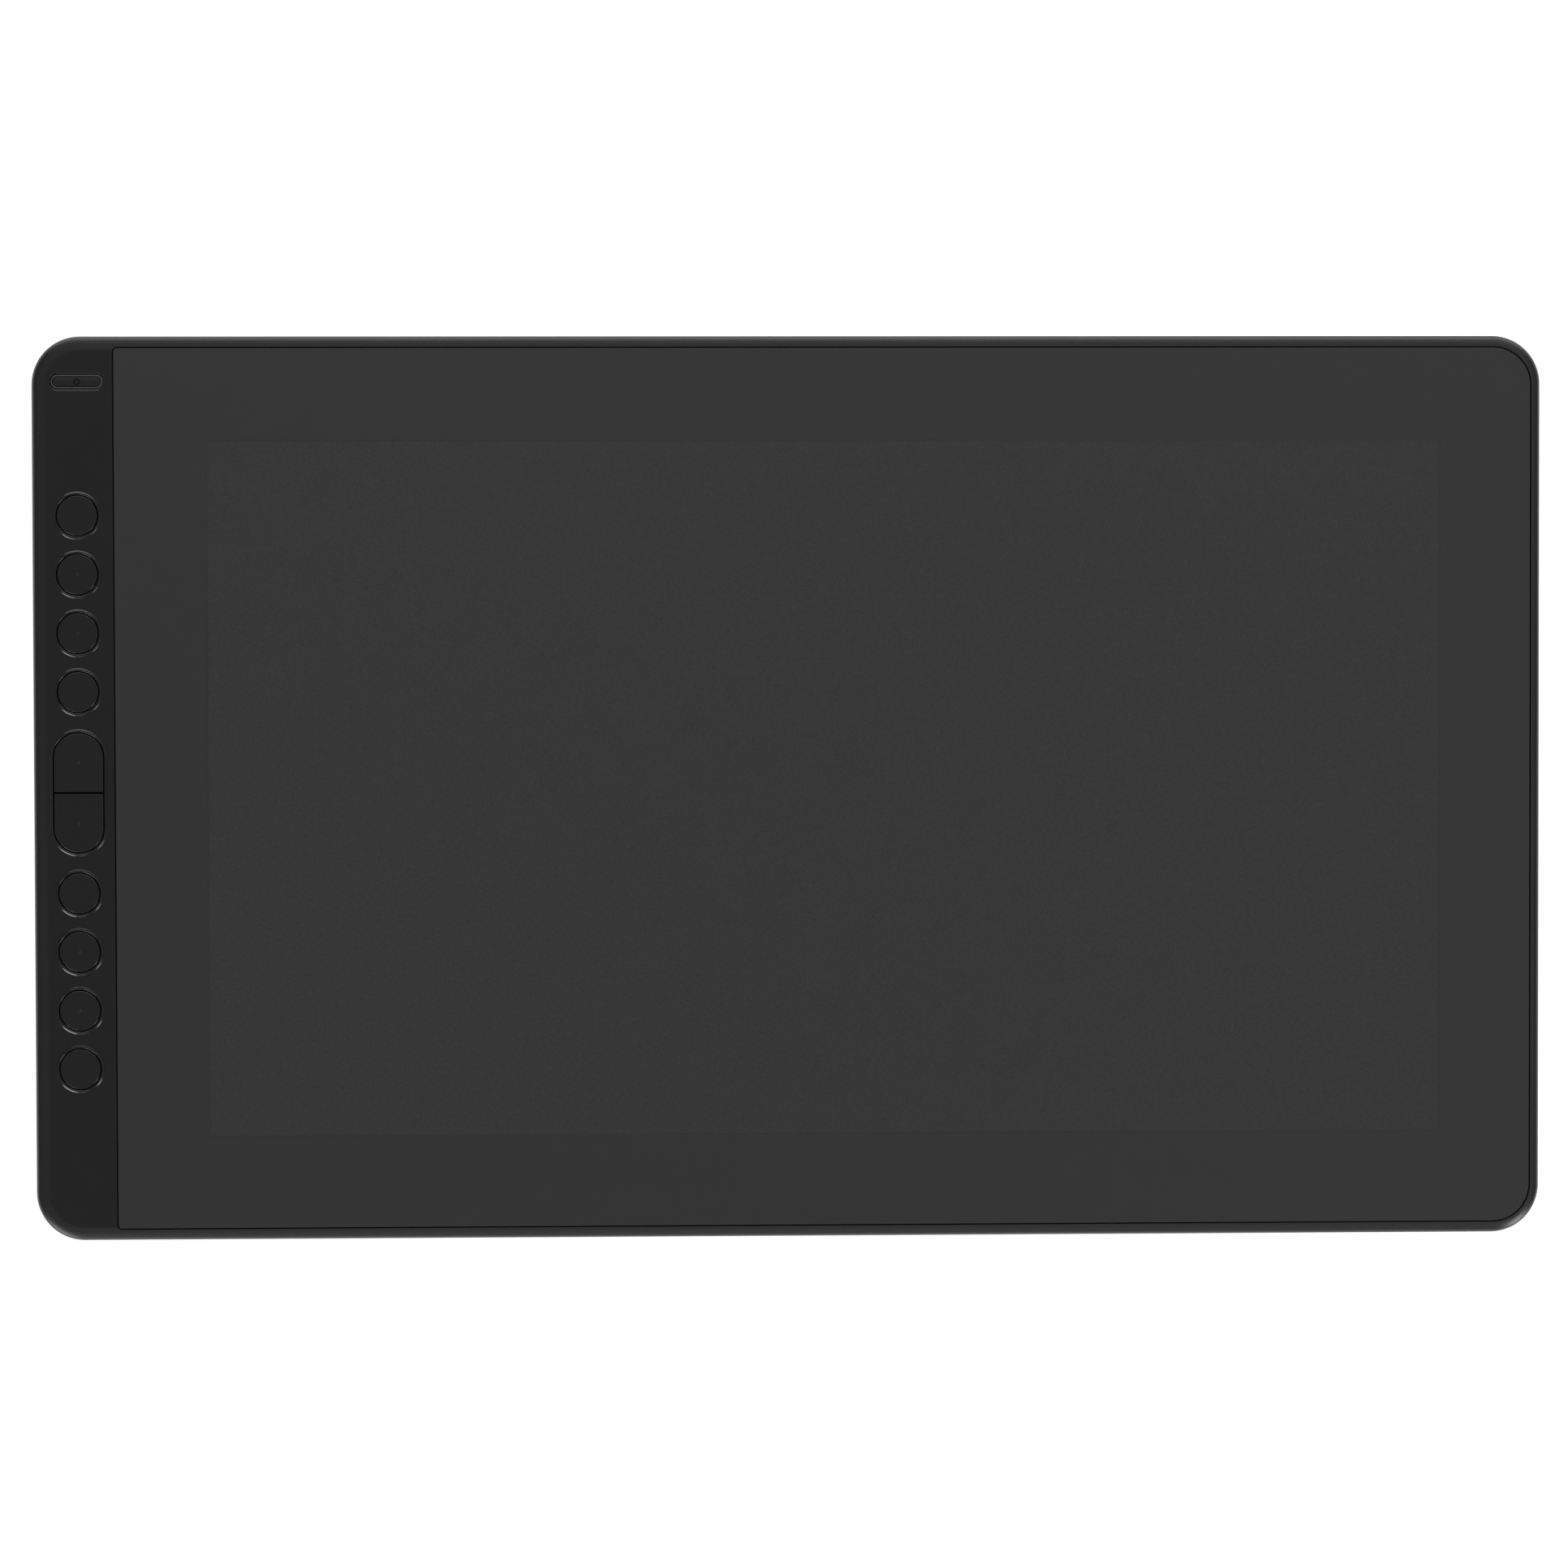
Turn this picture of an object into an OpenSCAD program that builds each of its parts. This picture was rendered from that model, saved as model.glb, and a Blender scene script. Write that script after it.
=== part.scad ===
// Graphics tablet with a screen: a pen display that lies flat on four rubber feet.
// +Z points up out of the screen, +X along the long side to the right, +Y away from the user.
// The origin is the middle of the outline, at the level of the feet's soles.

/* [Display] */
// Width of the screen's active area
active_w = 344.2; // [320:0.2:360]
// Depth of the screen's active area
active_d = 193.6; // [180:0.2:210]
// Printed border of the cover glass all round the active area
glass_border = 25.9; // [24:0.1:30]
// Thickness of the cover glass
glass_t = 1.1; // [0.8:0.1:1.6]
// Gap between the cover glass and the frame
glass_gap = 0.4; // [0.3:0.05:0.8]
// Depth of the glass below the frame's top face
glass_sink = 0.1; // [0:0.05:0.3]
// Corner radius of the glass beside the key panel
glass_inner_r = 1; // [0.5:0.5:5]
// Width of the tape that holds the glass
tape_w = 6; // [4:0.5:7]
// Thickness of the tape that holds the glass
tape_t = 0.3; // [0.2:0.05:0.5]
// Thickness of the clear adhesive between glass and screen
adhesive_t = 0.25; // [0.15:0.05:0.4]
// Margin of the clear adhesive round the active area
adhesive_margin = 2.5; // [1:0.1:2.9]
// Margin of the liquid crystal cell at its left, right and far sides
cell_margin = 3.2; // [3:0.1:4]
// Margin of the liquid crystal cell at its near side, where its flexes are bonded
cell_near = 6; // [5:0.1:7]
// Thickness of the liquid crystal cell
cell_t = 1.2; // [0.8:0.1:1.4]
// Thickness of the stack of optical films
films_t = 0.5; // [0.3:0.05:0.7]
// Thickness of the light guide
guide_t = 0.8; // [0.6:0.05:1]
// Thickness of the reflector film
reflector_t = 0.2; // [0.1:0.05:0.3]
// Width of the moulded frame round the light guide
panel_frame_w = 1.6; // [1.2:0.1:2.4]
// Sheet thickness of the backlight tray
panel_sheet_t = 0.4; // [0.3:0.05:0.5]
// Thickness of the pen-sensing board
digitizer_t = 0.8; // [0.6:0.1:1]
// Thickness of the shield sheet behind the pen-sensing board
shield_t = 0.25; // [0.1:0.05:0.4]
// Clearance round the display's layers
layer_gap = 0.1; // [0.05:0.05:0.2]

/* [Housing] */
// Thickness of the body without its feet
body_t = 11.5; // [11.5:0.1:14]
// Width of the key panel left of the glass
key_panel_w = 22.6; // [22.6:0.2:30]
// Width of the rim right of the glass
rim_x = 2.7; // [2.6:0.1:5]
// Width of the rims at the near and far side of the glass
rim_y = 3.1; // [2.6:0.1:6]
// Corner radius of the body's outline
corner_r = 13.5; // [12:0.5:17]
// Radius of the front frame's rounded edge
top_edge_r = 1.9; // [1:0.1:2.2]
// Radius of the crown between the frame's rounded edge and its flat top
crown_r = 7.4; // [5:0.2:9]
// Slope at which the crown meets the rounded edge, in degrees
crown_slope = 28; // [15:1:35]
// Radius of the rear cover's rounded edge
rear_edge_r = 2.2; // [0.8:0.1:2.3]
// Thickness of the side walls
wall = 2; // [1.6:0.1:2.3]
// Thickness of the key panel
panel_t = 1.8; // [1.5:0.1:2]
// Thickness of the ledge that carries the glass
ledge_t = 1.6; // [1.4:0.1:1.8]
// Height of the rear cover's side, up to the parting line
cover_h = 2.6; // [2.4:0.1:2.9]
// Thickness of the rear cover's floor
cover_t = 1.5; // [1.3:0.1:1.6]
// Height of the rear cover's lip above the parting line
lip_h = 1.2; // [0.8:0.1:1.3]
// Thickness of the rear cover's lip
lip_t = 1; // [0.8:0.1:1.2]
// Clearance between the lip and the frame's wall
lip_gap = 0.15; // [0.1:0.05:0.3]
// Height of the ribs on the rear cover's floor
floor_rib_h = 0.7; // [0.4:0.1:0.8]
// Thickness of the moulded ribs
rib_t = 1; // [0.8:0.1:1.4]

/* [Keys] */
// Diameter of the round keys
key_d = 11.1; // [10:0.1:11.4]
// Spacing of the keys in a group
key_pitch = 16.37; // [16.2:0.01:17.5]
// Distance of the key column from the body's left side
key_inset = 12.7; // [12.3:0.1:12.9]
// Shift of the key column's middle away from the user
column_y = -0.9; // [-3:0.05:3]
// Gap round every key in the key panel
key_gap = 0.35; // [0.3:0.05:0.6]
// Height of the keys above the key panel
key_proud = 0.25; // [0:0.05:0.6]
// Rounded edge of the round keys
key_edge_r = 0.15; // [0.1:0.05:0.8]
// Wall of the hollow keys
key_wall = 1; // [0.8:0.1:1.2]
// Height of the raised collar round the holes of the round keys and the rocker
collar_h = 0.25; // [0.1:0.05:0.3]
// Width of a collar's flat land beside its hole
collar_land = 0.42; // [0.1:0.02:0.5]
// Width of a collar's sloped flank
collar_flank = 0.36; // [0.2:0.02:0.6]
// Chamfer round the power key's hole
hole_chamfer = 0.3; // [0.1:0.05:0.4]
// Length of the two-part rocker
rocker_l = 33.2; // [30:0.2:36]
// Width of the rocker
rocker_w = 13.6; // [12:0.1:13.8]
// Gap between the rocker's halves
rocker_split = 0.5; // [0.3:0.1:0.8]
// Space between the rocker and the nearest round keys
rocker_space = 5.9; // [5:0.1:9]
// Length of the power key's cap
power_l = 13.3; // [10:0.1:13.4]
// Width of the power key's cap
power_w = 2.7; // [2:0.1:3.2]
// Width of the light ring round the power key
ring_w = 0.3; // [0.25:0.05:0.7]
// Gap between the power key's cap and its light ring
ring_gap = 0.2; // [0.1:0.05:0.3]
// Distance of the power key from the body's far side
power_inset = 12.7; // [11.5:0.1:16]
// Clearance round the power key in its hole
power_gap = 0.2; // [0.2:0.05:0.5]
// Height of the power key's top above the key panel
power_proud = 0; // [0:0.05:0.4]
// Diameter of the tactile dots
dot_d = 0.9; // [0.6:0.1:1.6]
// Height of the tactile dots
dot_h = 0.1; // [0.1:0.05:0.3]
// Width by which a key's flange reaches under the key panel
flange_lip = 0.8; // [0.6:0.1:0.9]
// Thickness of the keys' flanges
flange_t = 0.7; // [0.5:0.1:0.8]
// Travel of every key
key_travel = 0.4; // [0.2:0.05:0.4]
// Clearance above the flanges and below the pressed plungers
key_float = 0.1; // [0.05:0.05:0.15]

/* [Key board] */
// Length of the stem under each key
stem_h = 0.4; // [0.2:0.1:0.6]
// Diameter of the stem under each key
stem_d = 2.6; // [2:0.1:3.4]
// Side of the square tact switches
switch_w = 6; // [5:0.1:6.4]
// Height of the tact switches
switch_h = 2; // [1.8:0.1:2.4]
// Diameter of a switch's plunger
plunger_d = 2.4; // [1.8:0.1:3]
// Radial clearance of a plunger in its switch
plunger_gap = 0.1; // [0.05:0.05:0.2]
// Depth of a plunger inside its switch
plunger_depth = 1.1; // [0.6:0.1:1.2]
// Width of the key board
key_board_w = 14.8; // [14.4:0.1:15.2]
// Thickness of both printed boards with parts
board_t = 1; // [0.8:0.1:1.2]

/* [Main board] */
// Length of the main board
main_board_w = 62; // [60:0.5:70]
// Depth of the main board
main_board_d = 50; // [49:0.5:54]
// Height of the posts under the main board
board_post_h = 1; // [1:0.1:1.2]
// Distance of the far USB socket from the body's far side
usb_inset = 31; // [30:0.5:36]
// Spacing of the two USB sockets
usb_pitch = 15; // [12:0.5:16]
// Width of a USB socket's shell
usb_w = 8.94; // [8.9:0.02:9]
// Height of a USB socket's shell
usb_h = 3.26; // [3.2:0.02:3.3]
// Length of a USB socket
usb_l = 7.35; // [6.5:0.05:8]
// Sheet thickness of a USB socket's shell
usb_shell_t = 0.3; // [0.2:0.05:0.3]
// Depth of a USB socket's mouth behind the body's side
usb_recess = 0.4; // [0.2:0.1:0.8]
// Gap round a USB socket in the frame's wall
usb_gap = 0.25; // [0.15:0.05:0.3]

/* [Feet and screws] */
// Length of a foot
foot_l = 44; // [30:1:60]
// Width of a foot
foot_w = 9; // [6:0.5:12]
// Thickness of a foot
foot_t = 1.6; // [1.4:0.1:1.8]
// Height of a foot below the rear cover
foot_proud = 1; // [0.8:0.1:1.2]
// Distance of a foot's middle from the body's left or right side
foot_inset_x = 42; // [38:1:60]
// Distance of a foot's middle from the body's near or far side
foot_inset_y = 20; // [18:1:30]
// Diameter of the screw posts
post_d = 5.4; // [5:0.1:5.6]
// Gap between the screw posts and the frame's wall
post_gap = 0.5; // [0.3:0.1:0.6]
// Thread diameter of the housing screws
screw_d = 1.9; // [1.6:0.1:2]
// Length of the housing screws under the head
screw_l = 5.6; // [4.4:0.1:5.8]
// Diameter of the housing screws' heads
head_d = 3.6; // [3:0.1:3.8]
// Height of the housing screws' heads
head_h = 1; // [0.6:0.1:1.2]
// Depth of the housing screws' seats in the rear cover
seat_depth = 1.6; // [1.3:0.1:1.8]
// Distance of the outer screws in the near and far rows from the body's corners
row_inset = 30; // [26:1:40]
// Distance of the right-hand screws from the middle of that side
side_screw_y = 40; // [30:1:48]
// Clearance between a screw's thread and its hole
thread_gap = 0.05; // [0.02:0.01:0.1]

/* [Hidden] */
$fn = 96;
// Overlap of cutting tools past the faces that they cut
past = 1;

// Plan of the body and the glass
glass_w = active_w + 2 * glass_border;
glass_d = active_d + 2 * glass_border;
well_w = glass_w + 2 * glass_gap;
well_d = glass_d + 2 * glass_gap;
body_w = key_panel_w + well_w + rim_x;
body_d = well_d + 2 * rim_y;
glass_x = body_w / 2 - rim_x - well_w / 2;
glass_outer_r = corner_r - rim_x - glass_gap;

// Levels of the housing, from the feet up
z_back = foot_proud;
z_floor = z_back + cover_t;
z_part = z_back + cover_h;
post_step = 0.2;
z_post = z_part + lip_h + post_step;
z_top = z_back + body_t;
z_panel = z_top - panel_t;
z_glass = z_top - glass_sink - glass_t;
z_ledge = z_glass - tape_t;
z_under = z_ledge - ledge_t;

// Levels of the display's layers, from the glass down
z_cell_top = z_glass - adhesive_t;
z_cell = z_cell_top - cell_t;
z_films = z_cell - films_t;
z_guide = z_films - guide_t;
z_reflector = z_guide - reflector_t;
z_backlight = z_reflector - panel_sheet_t;
z_digitizer = z_backlight - digitizer_t;
z_shield = z_digitizer - shield_t;

// Plan of the display's layers, measured from the middle of the glass
cell_w = active_w + 2 * cell_margin;
cell_d = active_d + cell_margin + cell_near;
cell_y = (cell_margin - cell_near) / 2;
inner_w = cell_w - 2 * panel_frame_w;
inner_d = cell_d - 2 * panel_frame_w;
led_bar_d = 2;
led_strip_d = 0.9;
led_w = 3.6;
led_pitch = 11;
led_count = floor((inner_w - led_w) / led_pitch / 2);
backlight_w = cell_w + 2 * (layer_gap + panel_sheet_t);
backlight_d = cell_d + 2 * (layer_gap + panel_sheet_t);

// Driver board in front of the panel, and the flexes between them
driver_d = 7;
driver_t = 0.8;
driver_inset = 8;
driver_w = active_w - 2 * driver_inset;
flex_t = 0.12;
flex_w = 26;
flex_count = 4;
flex_space = 1.5;
driver_y = cell_y - backlight_d / 2 - flex_space - driver_d / 2;

// Support tray: a pressed pan whose flange is screwed under the glass ledge
tray_t = 0.6;
tray_space = 1;
tray_flange = 4.5;
tray_r = 3;
tray_w = backlight_w + 2 * tray_space;
tray_far = cell_y + backlight_d / 2 + tray_space;
tray_near = driver_y - driver_d / 2 - tray_space;
tray_d = tray_far - tray_near;
tray_y = (tray_far + tray_near) / 2;
z_tray = z_shield - tray_t;
tray_screw_inset = 20;
tray_screw_d = 1.8;
tray_screw_grip = 1.1;
tray_screw_l = tray_t + tray_screw_grip;
tray_head_d = 3.2;
tray_head_h = 0.6;

// Keys, switches and their board
key_x = -body_w / 2 + key_inset;
power_y = body_d / 2 - power_inset;
group_keys = 4;
key_first = rocker_l / 2 + rocker_space + key_d / 2;
dotted_keys = [2, 3, 6, 7];
z_key_top = z_top + key_proud;
z_power_top = z_top + power_proud;
z_flange = z_panel - key_float - flange_t;
z_stem = z_flange - stem_h;
plunger_proud = key_travel + key_float;
z_switch = z_stem - plunger_proud;
z_key_board_top = z_switch - switch_h;
z_key_board = z_key_board_top - board_t;
rocker_stem_y = rocker_split / 2 + (rocker_l - rocker_split) / 4;
cap_chamfer = 0.15;
power_chamfer = 0.2;
ring_l = power_l + 2 * (ring_gap + ring_w);
ring_d = power_w + 2 * (ring_gap + ring_w);
key_hole_r = key_d / 2 + key_gap;
rocker_hole_w = rocker_w + 2 * key_gap;
rocker_hole_l = rocker_l + 2 * key_gap;
power_hole_w = ring_d + 2 * power_gap;
power_hole_l = ring_l + 2 * power_gap;
power_pocket = 1.6;
panel_rib = 1.2;
board_screw_offset = 5.2;
board_screw_x = key_x - board_screw_offset;
board_post_d = 3.4;
power_screw_gap = 11;
board_screw_d = 1.3;
board_screw_l = 3.2;
board_head_d = 2.8;
board_head_h = 0.6;
board_edge = 1;
key_board_tail = 7;
key_board_far = power_y + switch_w / 2 + board_edge;
key_board_near = column_y - key_first - (group_keys - 1) * key_pitch - switch_w / 2 - key_board_tail;

// Main board and sockets
main_board_gap = 0.6;
main_board_x = body_w / 2 - wall - lip_gap - lip_t - main_board_gap - main_board_w / 2;
main_board_y = body_d / 2 - usb_inset - usb_pitch / 2;
z_board = z_floor + board_post_h;
z_board_top = z_board + board_t;
main_post_d = 4.4;
main_post_inset = 4;
main_screw_d = 1.4;
main_screw_grip = 1.2;
main_screw_l = board_t + main_screw_grip;
main_head_d = 3;
main_head_h = 0.7;
processor_size = [14, 14, 1.2];
memory_size = [8, 11, 1];
converter_size = [7, 7, 0.9];
coil_size = [5, 5, 1.5];
flash_size = [6, 5, 0.9];
usb_x = body_w / 2 - usb_recess - usb_l;
usb_z = z_board_top + usb_h / 2;
usb_ys = [body_d / 2 - usb_inset, body_d / 2 - usb_inset - usb_pitch];

// Flat cables and their connectors
cable_t = 0.3;
cable_w = 10;
connector_h = 1.2;
connector_l = 4;
connector_rim = 1;
plug_depth = 1.5;
plug_gap = 0.05;
cable_edge = 3;
bend = 7;
cable_spread = 11;
driver_end = 8;
plug_run = 2;
digitizer_reach = 60;
window_drop = 0.15;
key_cable_y = main_board_y - cable_spread;
digitizer_cable_y = main_board_y + cable_spread;
panel_cable_x = glass_x + driver_w / 2 - driver_end;
digitizer_connector_x = main_board_x - main_board_w / 2 - digitizer_reach;
key_connector_x = key_x + board_edge;
z_main_cable = z_board_top + connector_h / 2 - cable_t / 2;
z_key_cable = z_key_board - connector_h / 2 - cable_t / 2;
z_tray_cable = z_tray - cable_t;
z_panel_cable = z_tray - window_drop - cable_t;
z_window_connector = z_panel_cable + cable_t / 2 - connector_h / 2;
window_gap = 0.5;
driver_connector_y = driver_y - connector_l / 2;
main_left = main_board_x - main_board_w / 2 + cable_edge;
main_near = main_board_y - main_board_d / 2 + cable_edge;

// Screw places, and the clearances of their tips and heads
tip_gap = 0.1;
seat_gap = 0.2;
post_inset = wall + post_gap + post_d / 2;
row_screws = 4;
strip_screw_y = (power_y + column_y + key_first + (group_keys - 1) * key_pitch) / 2;

frame_black = "#252525";
key_black = "#242424";
glass_black = "#363636";
rubber_black = "#1c1c1c";
board_green = "#24523a";
steel = "#b9bcbf";

// Centre of round key i, counted from the far end
function key_y(i) = column_y + (i <= group_keys
  ? key_first + (group_keys - i) * key_pitch
  : -key_first - (i - group_keys - 1) * key_pitch);

// Every place where a key presses a switch
switch_places = [
  for (i = [1:2 * group_keys]) [key_x, key_y(i)],
  [key_x, column_y + rocker_stem_y],
  [key_x, column_y - rocker_stem_y],
  [key_x, power_y]
];

// Every place where a screw holds the two halves of the housing together
post_places = [
  for (i = [0:row_screws - 1], side = [-1, 1])
    [(body_w / 2 - row_inset) * (2 * i / (row_screws - 1) - 1), side * (body_d / 2 - post_inset)],
  for (side = [-1, 1]) [body_w / 2 - post_inset, side * side_screw_y]
];
strip_places = [[key_x, strip_screw_y], [key_x, 2 * column_y - strip_screw_y]];

// Every place where a screw holds the key board under the key panel
key_post_places = [
  for (side = [-1, 1], i = [0, 2])
    [board_screw_x, column_y + side * (key_first + (i + 0.5) * key_pitch)],
  [board_screw_x, power_y - power_screw_gap]
];

// Every place where a screw holds the main board
main_post_places = [
  for (sx = [-1, 1], sy = [-1, 1]) [
    main_board_x + sx * (main_board_w / 2 - main_post_inset),
    main_board_y + sy * (main_board_d / 2 - main_post_inset)
  ]
];

// Every place where a screw holds the support tray's flange
flange_mid = tray_t + tray_flange / 2;
tray_places = [
  for (i = [-1:1], side = [-1, 1])
    [glass_x + i * (tray_w / 2 - tray_screw_inset), tray_y + side * (tray_d / 2 + flange_mid)],
  for (side = [-1, 1], i = [-1, 1])
    [glass_x + side * (tray_w / 2 + flange_mid), tray_y + i * (tray_d / 4)]
];

// Rectangle with its own radius at each corner: near left, near right, far right, far left
module round_rect(size, radii) {
  difference() {
    square(size, center = true);
    for (i = [0:3]) {
      sx = (i == 0 || i == 3) ? -1 : 1;
      sy = i < 2 ? -1 : 1;
      r = radii[i];
      translate([sx * (size[0] / 2 - r), sy * (size[1] / 2 - r)])
        difference() {
          translate([sx > 0 ? 0 : -r - past, sy > 0 ? 0 : -r - past]) square(r + past);
          circle(r = r);
        }
    }
  }
}

// Plan outline of the body, drawn in from its side by inset
module body_plan(inset) {
  r = corner_r - inset;
  round_rect([body_w - 2 * inset, body_d - 2 * inset], [r, r, r, r]);
}

// Plan outline of the glass, grown by grow
module glass_plan(grow) {
  least_r = 0.5;
  inner_r = max(glass_inner_r + grow, least_r);
  outer_r = glass_outer_r + grow;
  translate([glass_x, 0])
    round_rect([glass_w + 2 * grow, glass_d + 2 * grow], [inner_r, outer_r, outer_r, inner_r]);
}

// Plan outline of the support tray's pan, grown by grow
module tray_plan(grow) {
  r = tray_r + grow;
  translate([glass_x, tray_y])
    round_rect([tray_w + 2 * grow, tray_d + 2 * grow], [r, r, r, r]);
}

// Half of a plate's cross-section, with its upper outer corner rounded
module edge_profile(reach, height, edge_r) {
  square([reach, height - edge_r]);
  square([reach - edge_r, height]);
  translate([reach - edge_r, height - edge_r]) intersection() {
    circle(r = edge_r);
    square(edge_r);
  }
}

// Half of the front frame's cross-section: a rounded edge that runs into a wide crown
module crown_profile(reach, height, edge_r) {
  crown_x = reach - edge_r - (crown_r - edge_r) * sin(crown_slope);
  crown_z = height - crown_r;
  edge_z = crown_z + (crown_r - edge_r) * cos(crown_slope);
  square([reach, edge_z]);
  square([crown_x, height]);
  translate([reach - edge_r, edge_z]) intersection() {
    circle(r = edge_r);
    square(edge_r);
  }
  translate([crown_x, crown_z]) intersection() {
    circle(r = crown_r);
    polygon([
      [0, edge_z - crown_z], [reach - edge_r - crown_x, edge_z - crown_z],
      [crown_r * tan(crown_slope), crown_r], [0, crown_r]
    ]);
  }
}

// Plate of the body's outline whose upper edge is rounded all round, crowned or plain
module soft_slab(height, edge_r, crowned) {
  module profile(reach) {
    if (crowned) crown_profile(reach, height, edge_r);
    else edge_profile(reach, height, edge_r);
  }
  module bar(length, half) {
    rotate([90, 0, 0]) linear_extrude(length, center = true) {
      profile(half);
      mirror([1, 0]) profile(half);
    }
  }
  bar(body_d - 2 * corner_r, body_w / 2);
  rotate([0, 0, 90]) bar(body_w - 2 * corner_r, body_d / 2);
  for (i = [0:3])
    translate([
      (i == 0 || i == 3 ? 1 : -1) * (body_w / 2 - corner_r),
      (i < 2 ? 1 : -1) * (body_d / 2 - corner_r),
      0
    ])
      rotate([0, 0, 90 * i]) rotate_extrude(angle = 90) profile(corner_r);
}

// Outline with two round ends, along Y
module pill(width, length) {
  square([width, length - width], center = true);
  for (side = [-1, 1]) translate([0, side * (length - width) / 2]) circle(d = width);
}

// Pill whose outline grows by grow on its way up
module pill_flare(width, length, grow, height) {
  for (side = [-1, 1])
    translate([0, side * (length - width) / 2, 0])
      cylinder(h = height, r1 = width / 2, r2 = width / 2 + grow);
  rotate([90, 0, 0]) linear_extrude(length - width, center = true)
    polygon([[-width / 2, 0], [width / 2, 0], [width / 2 + grow, height], [-width / 2 - grow, height]]);
}

// Cutting tool for a pill-shaped hole in the key panel
module pill_hole(width, length) {
  translate([0, 0, z_panel - past]) linear_extrude(panel_t + 2 * past) pill(width, length);
}

// Screw with its head below, pointing up, seated at the origin
module screw(thread_d, length, cap_d, cap_h) {
  cross_w = cap_d / 6;
  cross_l = cap_d * 0.6;
  cylinder(h = length, d = thread_d);
  translate([0, 0, -cap_h]) difference() {
    cylinder(h = cap_h, d = cap_d);
    for (turn = [0, 90]) rotate([0, 0, turn])
      translate([-cross_l / 2, -cross_w / 2, -past]) cube([cross_l, cross_w, past + cap_h / 2]);
  }
}

// Holes of the key panel, and the chamfer of the power key's
module key_holes() {
  for (i = [1:2 * group_keys]) translate([key_x, key_y(i), z_panel - past])
    cylinder(h = panel_t + 2 * past, r = key_hole_r);
  translate([key_x, column_y, 0]) pill_hole(rocker_hole_w, rocker_hole_l);
  translate([key_x, power_y, 0]) rotate([0, 0, 90]) {
    pill_hole(power_hole_w, power_hole_l);
    translate([0, 0, z_top - hole_chamfer])
      pill_flare(power_hole_w, power_hole_l, hole_chamfer, hole_chamfer);
  }
}

// Collars round the holes of the round keys and the rocker, with sloped flanks
module key_collars() {
  foot = collar_land + collar_flank;
  root = panel_t / 2;
  for (i = [1:2 * group_keys]) translate([key_x, key_y(i), z_top]) {
    translate([0, 0, -root]) cylinder(h = root, r = key_hole_r + foot);
    cylinder(h = collar_h, r1 = key_hole_r + foot, r2 = key_hole_r + collar_land);
  }
  translate([key_x, column_y, z_top]) {
    translate([0, 0, -root]) linear_extrude(root)
      pill(rocker_hole_w + 2 * foot, rocker_hole_l + 2 * foot);
    pill_flare(rocker_hole_w + 2 * foot, rocker_hole_l + 2 * foot, -collar_flank, collar_h);
  }
}

// Hollow behind the key panel
module key_pocket_plan() {
  right = glass_x - well_w / 2 - panel_rib;
  intersection() {
    body_plan(wall);
    translate([-body_w / 2, -body_d / 2]) square([body_w / 2 + right, body_d]);
  }
}

// Slots for the USB sockets, with a flare on the outside
module usb_slots() {
  slot_w = usb_h + 2 * usb_gap;
  slot_l = usb_w + 2 * usb_gap;
  for (y = usb_ys) translate([body_w / 2, y, usb_z]) rotate([0, 90, 0]) {
    translate([0, 0, -wall - past]) linear_extrude(wall + 2 * past) pill(slot_w, slot_l);
    translate([0, 0, -usb_recess]) pill_flare(slot_w, slot_l, usb_recess, usb_recess);
  }
}

module front_frame() {
  color(frame_black) {
    difference() {
      union() {
        translate([0, 0, z_part]) soft_slab(z_top - z_part, top_edge_r, true);
        key_collars();
      }
      translate([0, 0, z_ledge]) linear_extrude(z_top) glass_plan(glass_gap);
      translate([0, 0, z_under - past]) linear_extrude(z_top) tray_plan(0);
      translate([0, 0, z_part - past]) linear_extrude(z_under - z_part + past) body_plan(wall);
      translate([0, 0, z_under - past]) linear_extrude(z_panel - z_under + past) key_pocket_plan();
      key_holes();
      usb_slots();
      for (place = tray_places) translate([place[0], place[1], z_under - past])
        cylinder(h = past + tray_screw_grip + tip_gap, d = tray_screw_d + 2 * thread_gap);
    }
    frame_posts(post_places, z_post, z_under, post_d, screw_d, z_back + seat_depth + screw_l);
    frame_posts(strip_places, z_post, z_panel, post_d, screw_d, z_back + seat_depth + screw_l);
    frame_posts(
      key_post_places, z_key_board_top, z_panel, board_post_d, board_screw_d,
      z_key_board + board_screw_l
    );
    key_ribs();
  }
}

// Posts that hang under the frame, drilled for a screw whose tip is at tip
module frame_posts(places, low, high, outer_d, thread_d, tip) {
  for (place = places) translate([place[0], place[1], 0]) difference() {
    translate([0, 0, low]) cylinder(h = high - low, d = outer_d);
    translate([0, 0, low - past])
      cylinder(h = tip + tip_gap - low + past, d = thread_d + 2 * thread_gap);
  }
}

// Ribs between the keys on the key panel's underside
module key_ribs() {
  left = -body_w / 2 + wall;
  right = glass_x - well_w / 2 - panel_rib;
  for (side = [-1, 1], i = [0:group_keys - 2])
    translate([
      left,
      column_y + side * (key_first + (i + 0.5) * key_pitch) - rib_t / 2,
      z_flange
    ])
      difference() {
        cube([right - left, rib_t, z_panel - z_flange]);
        translate([board_screw_x - left, rib_t / 2, -past])
          cylinder(h = past + z_panel, d = board_post_d - rib_t);
      }
}

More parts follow.
